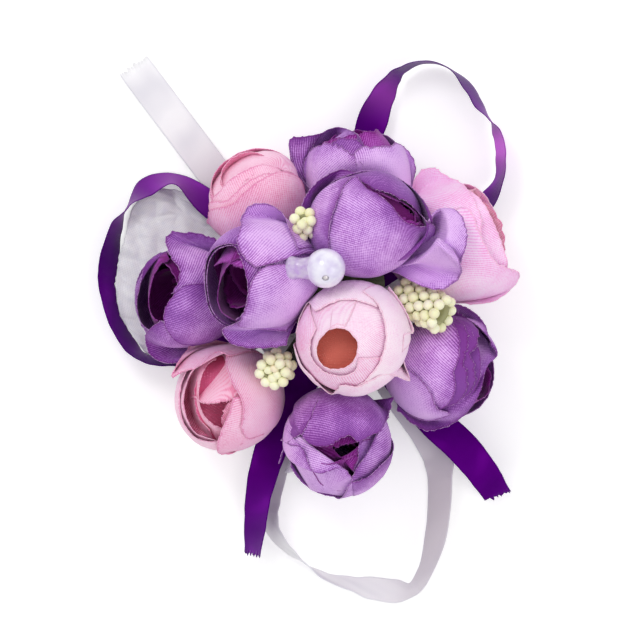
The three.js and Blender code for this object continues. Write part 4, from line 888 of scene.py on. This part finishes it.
def petalGrid(bud, table, seed, layer, tone, mid=0.0, half=60.0, top=0.9, lip=None, over=False, curl=0.03,
              rough=0.8, inset=1.0, foot=petalCut["foot"], wave=0.012, grain=35.0, chevron=False,
              fullness=0.86, leaves=2.5):
    # one cut petal laid round the bud, its lip eased open or drawn in, its cut edge frayed. One that
    # goes over keeps to mid and half on the wall, and crosses the mouth from there to its lip.
    columns, rows = petalCut["columns"], petalCut["rows"]
    length, size, outside = lengthOf(bud), spray["budRadius"] * bud["size"], wallOut(layer)
    flat = np.linspace(-1, 1, columns)
    across = overGrid(flat / 2 + 0.5, rows=rows)
    along = overGrid(1 - (1 - np.linspace(0, 1, rows)) ** petalCut["rowEase"], columns=columns)
    if lip:
        lipAngle, lipHeight, lipRadius = lipThrough(bud, lip, layer, columns)
    if over:
        angle = overGrid(mid + half * flat, rows=rows)
        height = blend(foot, petalCut["shoulder"], along)
    else:
        if lip:
            mid = (lipAngle.max() + lipAngle.min()) / 2
        else:
            lipAngle = mid + half * flat
            lipHeight = top - petalCut["roundness"] * np.abs(flat) ** petalCut["roundCurve"]
            lipHeight = lipHeight + ripple(seed, wave)((flat + 1) / 2)
            lipRadius = wallPoint(bud, np.clip(lipHeight, 0, 1), outside)[0] * inset
        angle = blend(mid + (lipAngle - mid) * fullness, lipAngle, smooth(along))
        height = blend(foot, lipHeight, along)
    pucker, count, reach = petalCut["pucker"]
    calm, late = petalCut["puckerEnd"]
    puckers = ripple(seed + 3, pucker * size, count, reach)(across) * along * (1 - calm * along ** late)
    radius, rise = wallPoint(bud, np.clip(height, 0, 1), outside)
    radius = radius * inset + puckers
    share = dent(table, angle, height)
    turn = np.radians(angle)
    if over:
        local = np.dstack([radius * share * np.cos(turn), radius * share * np.sin(turn), rise])
        lipTurn = np.radians(lipAngle)
        lipAt = np.column_stack([lipRadius * np.cos(lipTurn), lipRadius * np.sin(lipTurn), length * lipHeight])
        outer = layer > 0
        crossFrom = petalCut["crossFrom" if outer else "innerCrossFrom"]
        cross = np.clip((along - crossFrom) / (1 - crossFrom), 0, 1)
        ease = cross ** petalCut["crossEase" if outer else "innerCrossEase"]
        climb = np.sin(cross * math.pi / 2) if outer else cross ** 2
        local = local + (lipAt[None] - local[-1][None]) * np.dstack([ease, ease, climb])
        if outer:
            local[:, :, 2] += petalCut["dome"] * size * np.sin(cross * math.pi)
    else:
        lipWall, lipRise = wallPoint(bud, np.clip(lipHeight, 0, 1), outside)
        leave = along ** np.where(lipRadius > lipWall * inset, float(leaves), petalCut["innerLeave"])
        rollFrom = petalCut["rollFrom"]
        rolled = curl * size * np.clip((along - rollFrom) / (1 - rollFrom), 0, 1) ** 2
        radius = (radius + rolled) * share + (lipRadius - lipWall * inset) * leave
        rise = rise + (length * lipHeight - lipRise) * leave - petalCut["rollDrop"] * rolled
        local = np.dstack([radius * np.cos(turn), radius * np.sin(turn), rise])
    ragged, count, reach = petalCut["ragged"]
    ragged = (fray(seed + 2, rough * petalCut["frayLength"], petalCut["frayTeeth"])(across[0])
              + rough * ripple(seed + 5, ragged, count, reach)(across[0]))
    out = local[-1] - local[-3]
    local[-1] += out / np.maximum(np.linalg.norm(out, axis=1), 1e-6)[:, None] * ragged[:, None]
    points = inBudFrame(bud, local)
    cut = clothUv(points)
    side, up = cut[:, :, 0], cut[:, :, 1]
    rim = np.minimum(np.abs(up[-1][None, :] - up), np.minimum(side - side[:, :1], side[:, -1:] - side))
    shade = tone - petalCut["bellyTone"] + cloths[bud["cloth"]][4] * np.exp(-rim / petalCut["rimDepth"])
    if chevron:
        side = np.abs(side)
    slant = math.radians(grain)
    woven = np.dstack([side * math.cos(slant) - up * math.sin(slant),
                       side * math.sin(slant) + up * math.cos(slant)])
    return {"points": points, "uv": woven, "cut": cut, "rim": rim, "tone": shade}


def layPetals(name, replaced, bud, table, petals, seed, cloth):
    grids = [petalGrid(bud, table, seed + 7 * k, **petal) for k, petal in enumerate(petals)]
    piece = joinGrids(name, grids, cloth, petalCut["thickness"])
    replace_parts(piece, replaced)
    flat, area = flatSize(grids)


earlier = []
for number, (name, bud) in enumerate(buds.items()):
    outerCloth, petalSlot, heartCloth, heartSlot, _ = cloths[bud["cloth"]]
    table = dentTable(bud, earlier)
    layPetals(name + "_petals", name + "_outer_petals", bud, table, bud["petals"], 100 * number, outerCloth)
    rolls = [dict(zip(("mid", "half", "top", "layer", "inset", "tone"), roll)) for roll in bud["rolls"]]
    hearts = [{**heartCut, **heart} for heart in bud["hearts"] + rolls]
    layPetals(name + "_heart", name + "_heart_petals", bud, table, hearts, 100 * number + 50, heartCloth)
    earlier.append(bud)
print("rosebuds made")

# The two loose side petals of the upper centre bud, spread outward from its belly
looseCut = {"foot": 0.42, "rough": 1.2, "fullness": 0.8}
loosePetals = [
    {"layer": 1.3, "tone": -0.1, "grain": 30, "leaves": 1.4, "lip": [
        (428, 222), (436, 213), (447, 208), (457, 211), (464, 222), (466, 238, 0.5), (463, 254, 0.5),
        (455, 266, 0.5), (446, 274, 0.5)]},
    {"layer": 1.5, "tone": -0.02, "grain": 44, "leaves": 1.9, "lip": [
        (444, 244, 2.5), (454, 250, 4.5), (460, 263, 6.0), (458, 277, 6.5), (448, 286, 5.5), (436, 288, 4.0),
        (424, 285, 2.5), (412, 280, 1.0), (400, 273)]},
]
looseBud = buds["upper_centre_bud"]
layPetals("upper_centre_bud_loose_petals", "upper_centre_bud_open_petals", looseBud,
          dentTable(looseBud, [buds["centre_pink_bud"]]), [{**looseCut, **petal} for petal in loosePetals], 900,
          petalCloths["purple_petal"])


# Ribbons

# each stop: across and up the cluster, height in ribbon widths, and how far the ribbon is turned
# each band of painted light along a ribbon gives its middle and width as shares of the length, and its amount:
# a painted highlight on the purple satin, painted shade on the white
ribbons = {
    "bow_left_loop": {
        "held": "bowHeight", "satin": "purple", "paintedLightAndShade": [(0.22, 0.06, 0.22), (0.36, 0.06, 0.14)], "stops": [
            (-0.18, 0.135, 0, 0), (-0.4, 0.3, 0.08, 6), (-0.68, 0.52, 0.36, 42), (-0.868, 0.657, 0.42, 72),
            (-1.015, 0.614, 0.4, 56), (-1.125, 0.5, 0.38, 88), (-1.185, 0.385, 0.36, 112),
            (-1.223, 0.206, 0.34, 126), (-1.226, 0.1, 0.33, 127), (-1.19, -0.076, 0.32, 122),
            (-1.118, -0.23, 0.34, 116), (-1.04, -0.31, 0.34, 105), (-0.9, -0.325, 0.3, 110),
            (-0.66, -0.26, 0.06, 170), (-0.225, -0.08, 0, 180)]},
    "bow_right_loop": {
        "held": "bowHeight", "satin": "purple", "paintedLightAndShade": [(0.26, 0.04, 0.3), (0.7, 0.07, 1.0)], "stops": [
            (0.045, 0.225, 0, 0), (0.1, 0.5, 0, 0), (0.14, 0.71, 0.02, 3), (0.173, 0.869, 0.25, 34),
            (0.205, 0.974, 0.32, 26), (0.26, 1.104, 0.4, 45), (0.317, 1.2, 0.44, 65), (0.374, 1.25, 0.46, 78),
            (0.484, 1.288, 0.46, 85), (0.612, 1.256, 0.44, 90), (0.72, 1.153, 0.44, 105),
            (0.774, 1.066, 0.44, 105), (0.834, 0.98, 0.42, 92), (0.877, 0.904, 0.4, 75),
            (0.896, 0.828, 0.38, 73), (0.898, 0.758, 0.36, 73), (0.89, 0.655, 0.34, 75),
            (0.815, 0.528, 0.25, 58), (0.74, 0.47, 0.08, 18), (0.6, 0.385, 0, 0), (0.193, 0.13, -0.06, 0)]},
    "bow_left_tail": {
        "held": "tailHeight", "satin": "purple", "slant": 0.0006, "stops": [
            (-0.09, -0.21, 0, 0), (-0.16, -0.38, 0, 0), (-0.23, -0.55, 0.06, 3), (-0.34, -0.79, 0.42, 18),
            (-0.385, -0.93, 0.6, 30), (-0.42, -1.088, 0.64, 43), (-0.43, -1.212, 0.52, 50),
            (-0.447, -1.37, 0.44, 62)]},
    "bow_right_tail": {
        "held": "tailHeight", "satin": "purple", "slant": 0.002, "stops": [
            (0.15, -0.175, 0, 0), (0.32, -0.385, 0, 0), (0.44, -0.54, 0.1, 0), (0.547, -0.666, 0.48, 8),
            (0.687, -0.796, 0.58, 8), (0.798, -0.931, 0.4, 24), (0.88, -1.056, 0.28, 38)]},
    "wrist_tie_end": {
        "held": "tieHeight", "satin": "white", "slant": 0, "paintedLightAndShade": [(0.5, 0.13, 0.9)], "stops": [
            (-0.12, -0.02, 0, 0), (-0.35, 0.285, 0, 0), (-0.5, 0.483, -0.04, 0), (-0.66, 0.695, -0.12, 0),
            (-0.875, 0.981, -0.12, 2), (-1.085, 1.261, -0.09, 4)]},
    "wrist_tie_loop": {
        "held": "tieHeight", "satin": "white", "paintedLightAndShade": [(0.25, 0.17, 0.9), (0.87, 0.12, 0.6)], "stops": [
            (0.105, -0.15, 0, 0), (0.36, -0.52, 0, 0), (0.51, -0.74, 0, 14), (0.562, -0.87, 0.12, 30),
            (0.568, -0.97, 0.24, 44), (0.568, -1.056, 0.25, 46), (0.552, -1.245, 0.28, 50),
            (0.485, -1.475, 0.34, 64), (0.42, -1.565, 0.35, 66), (0.32, -1.575, 0.28, 45),
            (0.2, -1.56, 0.28, 48), (0.085, -1.535, 0.34, 66), (-0.055, -1.495, 0.36, 78),
            (-0.165, -1.42, 0.36, 92), (-0.245, -1.36, 0.36, 103), (-0.325, -1.265, 0.34, 112),
            (-0.36, -1.175, 0.26, 125), (-0.37, -1.09, 0.16, 146), (-0.35, -0.94, 0.04, 165),
            (-0.24, -0.6, 0, 180), (-0.07, -0.185, 0, 180)]},
}
ribbonCloth = {"thickness": 0.00022, "rowsEach": 9, "columns": 33, "crown": 0.0002,
               "wander": (0.00015, 5, 6), "raveled": 0.0013, "ravels": 30}


def ribbonGrid(ribbon, seed):
    stops = np.array(ribbon["stops"])
    held = spray[ribbon["held"]]
    middles = [placeAt(x, y, held + height * spray["ribbonWidth"]) for x, y, height, _ in stops]
    count = ribbonCloth["rowsEach"] * (len(stops) - 1) + 1
    places, headings = curveThrough(middles, count)
    run = np.linspace(0, 1, count)
    t = run * (len(stops) - 1)
    k = np.minimum(t.astype(int), len(stops) - 2)
    tilt = np.radians(blend(stops[k, 3], stops[k + 1, 3], smooth(t - k)))
    level = np.stack([-headings[:, 1], headings[:, 0]], axis=1)
    level /= np.linalg.norm(level, axis=1)[:, None]
    edge = np.column_stack([level * np.cos(tilt)[:, None], np.sin(tilt)])
    heading = headings / np.linalg.norm(headings, axis=1)[:, None]
    normal = np.cross(edge, heading)
    across = np.linspace(0.5, -0.5, ribbonCloth["columns"])
    wander = ripple(seed, *ribbonCloth["wander"])(run)
    bulge = ribbonCloth["crown"] * (1 - 4 * across ** 2)[None, :] + wander[:, None]
    points = (places[:, None, :] + edge[:, None, :] * (across * spray["ribbonWidth"])[None, :, None]
              + normal[:, None, :] * bulge[..., None])
    if "slant" in ribbon:
        # the cut end: a slant, and threads that have come loose along it
        loose = fray(seed + 9, ribbonCloth["raveled"], ribbonCloth["ravels"])(across + 0.5)
        points[-1] += heading[-1] * (ribbon["slant"] * across + loose)[:, None]
    cut = clothUv(points)
    rim = overGrid((0.5 - np.abs(across)) * spray["ribbonWidth"] * 1000, rows=count)
    # painted highlight or painted shade, in bands along the ribbon
    paintedLightAndShade = np.zeros(count)
    for middle, width, amount in ribbon.get("paintedLightAndShade", []):
        paintedLightAndShade += amount * np.exp(-((run - middle) / width) ** 2)
    return {"points": points, "uv": cut, "cut": cut, "rim": rim, "tone": overGrid(paintedLightAndShade, columns=len(across))}


for seed, (name, ribbon) in enumerate(ribbons.items()):
    grid = ribbonGrid(ribbon, 300 + seed)
    dye = ribbon["satin"]
    piece = joinGrids(name + "_satin", [grid], satins[dye], ribbonCloth["thickness"])
    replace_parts(piece, name)
    flat, _ = flatSize([grid])
print("ribbons made")

# Organza: from and to are the fan's sides in degrees, reach its length along five rays
fans = {
    "left_organza": {"held": "bowHeight", "gather": (-0.38, 0.07), "from": 116, "to": 210, "level": 0.1,
                     "reach": (0.4, 0.8, 0.8, 0.8, 0.73)},
    "lower_organza": {"held": "tailHeight", "gather": (0, -0.42), "from": 242, "to": 296, "level": 0.12,
                      "reach": (0.58, 0.5, 0.45, 0.5, 0.6)},
}
crush = {"columns": 121, "rows": 60, "gathered": 0.12, "fray": (0.01, 90), "fold": 0.0006, "folds": 9,
         "lumps": 9, "pitch": (180, 560), "lump": 0.00045, "sunk": 0.0001, "rim": 20}


def fanGrid(fan, seed):
    columns, rows = crush["columns"], crush["rows"]
    across = overGrid(np.linspace(0, 1, columns), rows=rows)
    along = overGrid(np.linspace(0, 1, rows), columns=columns)
    curve, _ = curveThrough([(k, share, 0) for k, share in enumerate(fan["reach"])], columns)
    edge = curve[:, 1][None, :] + fray(seed, *crush["fray"])(across)
    reach = spray["clusterRadius"] * blend(crush["gathered"], edge, along)
    angle = np.radians(blend(fan["from"], fan["to"], across))
    gather = placeAt(*fan["gather"], spray[fan["held"]] + fan["level"] * spray["ribbonWidth"])
    x, y = reach * np.cos(angle), reach * np.sin(angle)
    folds = crush["fold"] * along * np.sin(crush["folds"] * math.pi * across)
    lumps = np.zeros_like(x)
    waves = np.random.default_rng(seed)
    for _ in range(crush["lumps"]):
        way, pitch = waves.uniform(0, math.pi), waves.uniform(*crush["pitch"])
        crest = np.abs(np.sin(pitch * (x * math.cos(way) + y * math.sin(way)) + waves.uniform(0, 6)))
        lumps += crush["lump"] * crest - crush["sunk"]
    points = np.dstack([x, y, folds + lumps * along]) + gather
    cut = clothUv(points)
    return {"points": points, "uv": cut, "cut": cut, "rim": (1 - along) * crush["rim"],
            "tone": np.zeros_like(x)}


for seed, (name, fan) in enumerate(fans.items()):
    grid = fanGrid(fan, 400 + seed)
    piece = joinGrids(name + "_net", [grid], organzaNet, organza["thickness"])
    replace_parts(piece, name)
    flat, area = flatSize([grid])
print("organza made")


# Stems, pips, pearl and pad

def tube(points, radius, sides=14):
    # rings carried along a path without twisting
    points = np.asarray(points, float)
    heading = np.gradient(points, axis=0)
    heading /= np.linalg.norm(heading, axis=1)[:, None]
    side = np.cross(heading[0], [0.3, 0.5, 0.81])
    turns = np.linspace(0, 2 * math.pi, sides, endpoint=False)
    rings = []
    for point, way, size in zip(points, heading, np.broadcast_to(radius, len(points))):
        side = side - way * (side @ way)
        side /= np.linalg.norm(side)
        other = np.cross(way, side)
        rings.append(point + size * (np.cos(turns)[:, None] * side + np.sin(turns)[:, None] * other))
    return closedRings(rings)


def closedRings(rings):
    # rings joined into a closed body with a middle point on each end
    sides = len(rings[0])
    points = np.vstack(rings + [np.mean(rings[0], axis=0)[None], np.mean(rings[-1], axis=0)[None]])
    faces = []
    for ring in range(len(rings) - 1):
        for k in range(sides):
            a, b = ring * sides + k, ring * sides + (k + 1) % sides
            faces.append((a, b, b + sides, a + sides))
    foot, head, last = len(points) - 2, len(points) - 1, (len(rings) - 1) * sides
    for k in range(sides):
        faces.append((foot, (k + 1) % sides, k))
        faces.append((head, last + k, last + (k + 1) % sides))
    return points, faces


def turnedRings(profile, sides):
    turns = np.linspace(0, 2 * math.pi, sides, endpoint=False)
    return [np.column_stack([r * np.cos(turns), r * np.sin(turns), np.full(sides, z)]) for r, z in profile]


def lathe(profile, sides):
    return closedRings(turnedRings(profile, sides))


def arc(radius, gap, count):
    # a half round from the foot of a ball to its head, short of both by an angle
    return [(radius * math.sin(a), -radius * math.cos(a)) for a in np.linspace(gap, math.pi - gap, count)]


def merged(parts):
    points, faces = [], []
    for partPoints, partFaces in parts:
        first = sum(len(p) for p in points)
        points.append(partPoints)
        faces += [tuple(v + first for v in face) for face in partFaces]
    return np.vstack(points), faces


stems = {"wireRadius": 0.001, "calyxHeight": 0.004, "calyxSides": 28, "from": 0.25, "into": 0.5,
         "bendAlong": 0.6, "rows": 40, "calyx": [
    (0.001, -0.0043), (0.0016, -0.0041), (0.0029, -0.0024), (0.0034, -0.0013), (0.0033, -0.0006),
    (0.0024, -0.0003)]}
bundleMiddle = placeAt(0, 0.06, spray["bundleFoot"])


def stemPath(foot, axis, run, fromShare, endShare, bendAt=None):
    start = blend(bundleMiddle, foot, fromShare)
    start[2] = bundleMiddle[2] + spray["bundleHeight"] / 2
    end = foot - axis * run
    bend = blend(start, end, stems["bendAlong"])
    if bendAt:
        bend = placeAt(*bendAt, bend[2])
    places, _ = curveThrough([start, bend, end, foot - axis * run * endShare], stems["rows"])
    return places


for name, bud in buds.items():
    foot, axes = budFrame(bud)
    path = stemPath(foot, axes[2], stems["calyxHeight"], stems["from"], stems["into"])
    calyxPoints, calyxFaces = lathe(stems["calyx"], stems["calyxSides"])
    points, faces = merged([tube(path, stems["wireRadius"]), (inBudFrame(bud, calyxPoints), calyxFaces)])
    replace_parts(newPiece(name + "_taped_stem", points, faces, stemTape), name + "_stem")

bundle = {"foot": 0.0148, "rows": (0, 0.12, 0.25, 0.4, 0.55, 0.7, 0.82, 0.9, 0.96, 0.99), "sides": 72,
          "wrapDepth": 0.02, "wraps": 14, "wrapTwist": 900}
dome = [(spray["bundleRadius"] * math.cos(math.pi / 2 * s * s), spray["bundleHeight"] * s)
        for s in bundle["rows"]]
points, faces = lathe([(bundle["foot"], 0)] + dome, bundle["sides"])
twist = bundle["wraps"] * np.arctan2(points[:, 1], points[:, 0]) + bundle["wrapTwist"] * points[:, 2]
points[:, :2] *= (1 - bundle["wrapDepth"] * (1 + np.sin(twist)))[:, None]
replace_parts(newPiece("taped_bundle", points + bundleMiddle, faces, stemTape), "stem_bundle")

dice = np.random.default_rng(7)
pips = {"radius": 0.00145, "spacing": 0.00295, "swell": 1.1, "lump": 0.06, "poleGap": 0.12, "rows": 11,
        "sides": 16, "middleCircle": 0.42, "middleDrop": 0.0004, "middleTurn": 0.3, "core": 0.75,
        "coreSides": 24, "stemFrom": 0.42}
stamens = {
    "upper_stamens": {"place": (-0.165, 0.411), "height": 1.125, "plan": 95, "tilt": 50, "rings": 3,
                      "around": 5, "filled": 1, "bendAt": (-0.195, 0.281)},
    "right_stamens": {"place": (0.478, -0.028), "height": 0.8625, "plan": 334, "tilt": 30, "rings": 6,
                      "around": 9, "filled": 0, "bendAt": (0.288, 0.012)},
    "left_stamens": {"place": (-0.32, -0.375), "height": 0.875, "plan": 230, "tilt": 60, "rings": 3,
                     "around": 8, "filled": 4, "bendAt": (-0.222, -0.244)},
}


def pipBall(middle, radius):
    # a slightly lumpy ball of starch
    bulge = dice.uniform(1 - pips["lump"], 1 + pips["lump"], 3)
    points, faces = lathe(arc(radius, pips["poleGap"], pips["rows"]), pips["sides"])
    return points * bulge + middle, faces


def onCircle(radius, share, height):
    angle = 2 * math.pi * share
    return np.array([radius * math.cos(angle), radius * math.sin(angle), height])


for name, stamen in stamens.items():
    circle = stamen["around"] * pips["spacing"] / (2 * math.pi)
    step = pips["spacing"] * math.cos(math.pi / 6)
    coreTop = (stamen["rings"] - 1) * step / 2
    axis = direction(stamen["plan"], stamen["tilt"])
    sideWay = np.cross([0, 0, 1], axis)
    sideWay /= np.linalg.norm(sideWay)
    axes = np.array([sideWay, np.cross(axis, sideWay), axis])
    middle = placeAt(*stamen["place"], stamen["height"] * spray["crownHeight"])
    parts, tones = [], []
    for ring in range(stamen["rings"]):
        for k in range(stamen["around"]):
            at = onCircle(circle, (k + (ring % 2) / 2) / stamen["around"], ring * step - coreTop)
            parts.append(pipBall(at + dice.normal(0, 0.0001, 3), pips["radius"] * dice.uniform(0.96, 1.04)))
            tones += [dice.uniform(0, 0.7)] * len(parts[-1][0])
    for k in range(stamen["filled"]):
        at = onCircle(pips["middleCircle"] * circle, (k + pips["middleTurn"]) / stamen["filled"],
                      coreTop - pips["middleDrop"])
        parts.append(pipBall(at + dice.normal(0, 0.0002, 3), pips["radius"] * dice.uniform(0.9, 1.0)))
        tones += [dice.uniform(0.2, 0.8)] * len(parts[-1][0])
    core = circle - pips["core"] * pips["radius"]
    hollow = [(core * 0.4, -coreTop - pips["radius"]), (core, -coreTop), (core, coreTop),
              (core * 0.86, coreTop + 0.0003), (core * 0.7, coreTop - 0.0012), (core * 0.3, coreTop - 0.0045)]
    parts.append(lathe(hollow, pips["coreSides"]))
    # the core takes the olive stop: the stems' colour with painted shade of the hollow
    tones += [1.0] * len(parts[-1][0])
    points, faces = merged(parts)
    head = newPiece(name + "_cluster", points * pips["swell"] @ axes + middle, faces, creamPips,
                    marks={"tone": tones})
    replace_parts(head, name + "_pips")
    foot = middle + axis * (-coreTop - pips["radius"] - spray["fitGap"])
    points, faces = tube(stemPath(foot, axis, pips["radius"], pips["stemFrom"], 0, stamen["bendAt"]),
                         stems["wireRadius"])
    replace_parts(newPiece(name + "_taped_stem", points, faces, stemTape), name + "_stem")
print("stems and pips made")

pearlSize = {"place": (-0.051, 0.172), "radius": 0.0059, "bore": 0.001, "boreLean": 31, "rows": 48,
             "sides": 72, "wire": 0.0005, "wireEnd": 0.00085, "endFrom": 0.9, "wireRows": 80,
             "wireFrom": -1.5, "wireTo": 0.95}
pearlPlace = placeAt(*pearlSize["place"], spray["pearlHeight"])
profile = arc(pearlSize["radius"], math.asin(pearlSize["bore"] / pearlSize["radius"]), pearlSize["rows"])
sides = pearlSize["sides"]
points = np.vstack(turnedRings(profile, sides))
boreWay = direction(-90, 90 - pearlSize["boreLean"])
boreAxes = np.array([[1, 0, 0], np.cross(boreWay, [1, 0, 0]), boreWay])
faces = []
for ring in range(len(profile)):
    upper = (ring + 1) % len(profile) * sides
    faces += [(ring * sides + k, ring * sides + (k + 1) % sides, upper + (k + 1) % sides, upper + k)
              for k in range(sides)]
pearl = newPiece("pearl_bead", points @ boreAxes + pearlPlace, faces, pearlLacquer)
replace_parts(pearl, "pearl")

wireFoot = bundleMiddle + [0, 0, spray["bundleHeight"] / 2]
below, beyond = (pearlPlace + pearlSize[end] * pearlSize["radius"] * boreWay for end in ("wireFrom", "wireTo"))
bend = (wireFoot + below) / 2
bend[0] = bundleMiddle[0]
path, _ = curveThrough([wireFoot, bend, below, pearlPlace, beyond], pearlSize["wireRows"])
ended = np.linspace(0, 1, pearlSize["wireRows"]) > pearlSize["endFrom"]
points, faces = tube(path, np.where(ended, pearlSize["wireEnd"], pearlSize["wire"]))
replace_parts(newPiece("pearl_bright_wire", points, faces, brightWire), "pearl_wire")

glue = {"from": 0.0045, "length": 0.0118, "waist": 0.0031, "flare": 0.0009, "flareCurve": 1.6,
        "flareLow": 0.7, "end": 0.0022, "endFrom": 0.75, "droop": 0.2, "rows": 30, "sides": 36,
        "lump": 0.00018, "lumpPitch": (2200, 1700)}
lengths = np.linspace(glue["from"], glue["length"], glue["rows"])
share = (lengths - glue["from"]) / (glue["length"] - glue["from"])
neck = (glue["waist"] + glue["flare"] * np.abs(2 * share - glue["flareLow"]) ** glue["flareCurve"]
        - glue["end"] * np.clip((share - glue["endFrom"]) / (1 - glue["endFrom"]), 0, 1) ** 2)
points, faces = tube([pearlPlace + [-s, 0, -glue["droop"] * s] for s in lengths], neck, glue["sides"])
lumpX, lumpY = glue["lumpPitch"]
points[:, 2] += glue["lump"] * np.sin(lumpX * points[:, 0]) * np.cos(lumpY * points[:, 1])
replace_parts(newPiece("pearl_glue_neck", points, faces, clearGlue), "pearl_glue_drop")

pad = {"radius": 0.026, "thickness": 0.0015, "bevel": 0.0003, "round": 0.0001, "rings": (0.001, 0.012),
       "sides": 96}
radius, thickness, bevel, edge = pad["radius"], pad["thickness"], pad["bevel"], pad["round"]
under = [(ring, 0) for ring in pad["rings"]]
under += [(radius - bevel, 0), (radius - edge, edge), (radius, bevel)]
above = [(r, thickness - z) for r, z in reversed(under)]
points, faces = lathe(under + above, pad["sides"])
feltPad = newPiece("felt_back_pad", points, faces, whiteFelt)
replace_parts(feltPad, "back_pad")
print("pearl and pad made")


# Floor, light and camera
studio = {"floor": 0.86, "floorGlow": 0.35, "floorHalf": 1.5, "floorDrop": 0.0004, "worldStrength": 0.8,
          "backdropStrength": 1.0, "aim": (0, 0, 0.02), "viewWidth": 0.1888,
          "viewFrom": (-0.0044, -0.0059, 1.0),
          "lamps": {"key_lamp": ((-0.35, 0.5, 0.8), 0.35, 2.2), "fill_lamp": ((0.5, -0.2, 0.7), 0.6, 1.0)}}
floorMaterial, n = newMaterial("pale_floor", (studio["floor"],) * 3, 0.9)
n.settings({"Emission Color": (1, 1, 1, 1)})
n.link(n.scaled(n.seenRay(), studio["floorGlow"]), n.shader.inputs["Emission Strength"])
mesh = bpy.data.meshes.new("table_top")
half, low = studio["floorHalf"], -studio["floorDrop"]
mesh.from_pydata([(x * half, y * half, low) for x, y in ((-1, -1), (1, -1), (1, 1), (-1, 1))], [],
                 [(0, 1, 2, 3)])
mesh.materials.append(floorMaterial)
floor = bpy.data.objects.new("table_top", mesh)
bpy.context.scene.collection.objects.link(floor)

world = bpy.data.worlds.new("soft_room")
world.use_nodes = True
bpy.context.scene.world = world
n = Nodes(world)
background = n.tree.nodes["Background"]
background.inputs["Color"].default_value = (1, 1, 1, 1)
brighter = n.scaled(n.seenRay(), studio["backdropStrength"] - studio["worldStrength"])
n.link(n.maths("ADD", brighter, studio["worldStrength"]), background.inputs["Strength"])


def softLamp(name, place, size, energy):
    lamp = bpy.data.lights.new(name, "AREA")
    lamp.shape = "DISK"
    lamp.size = size
    lamp.energy = energy
    thing = bpy.data.objects.new(name, lamp)
    bpy.context.scene.collection.objects.link(thing)
    thing.location = place
    thing.rotation_euler = (Vector(studio["aim"]) - Vector(place)).to_track_quat("-Z", "Y").to_euler()
    thing.visible_camera = False


for name, (place, size, energy) in studio["lamps"].items():
    softLamp(name, place, size, energy)

camera = bpy.data.cameras.new("overhead")
camera.type = "ORTHO"
camera.ortho_scale = studio["viewWidth"]
overhead = bpy.data.objects.new("overhead", camera)
overhead.location = studio["viewFrom"]
bpy.context.scene.collection.objects.link(overhead)
bpy.context.scene.camera = overhead
bpy.context.scene.view_settings.view_transform = "Standard"
print("studio made")
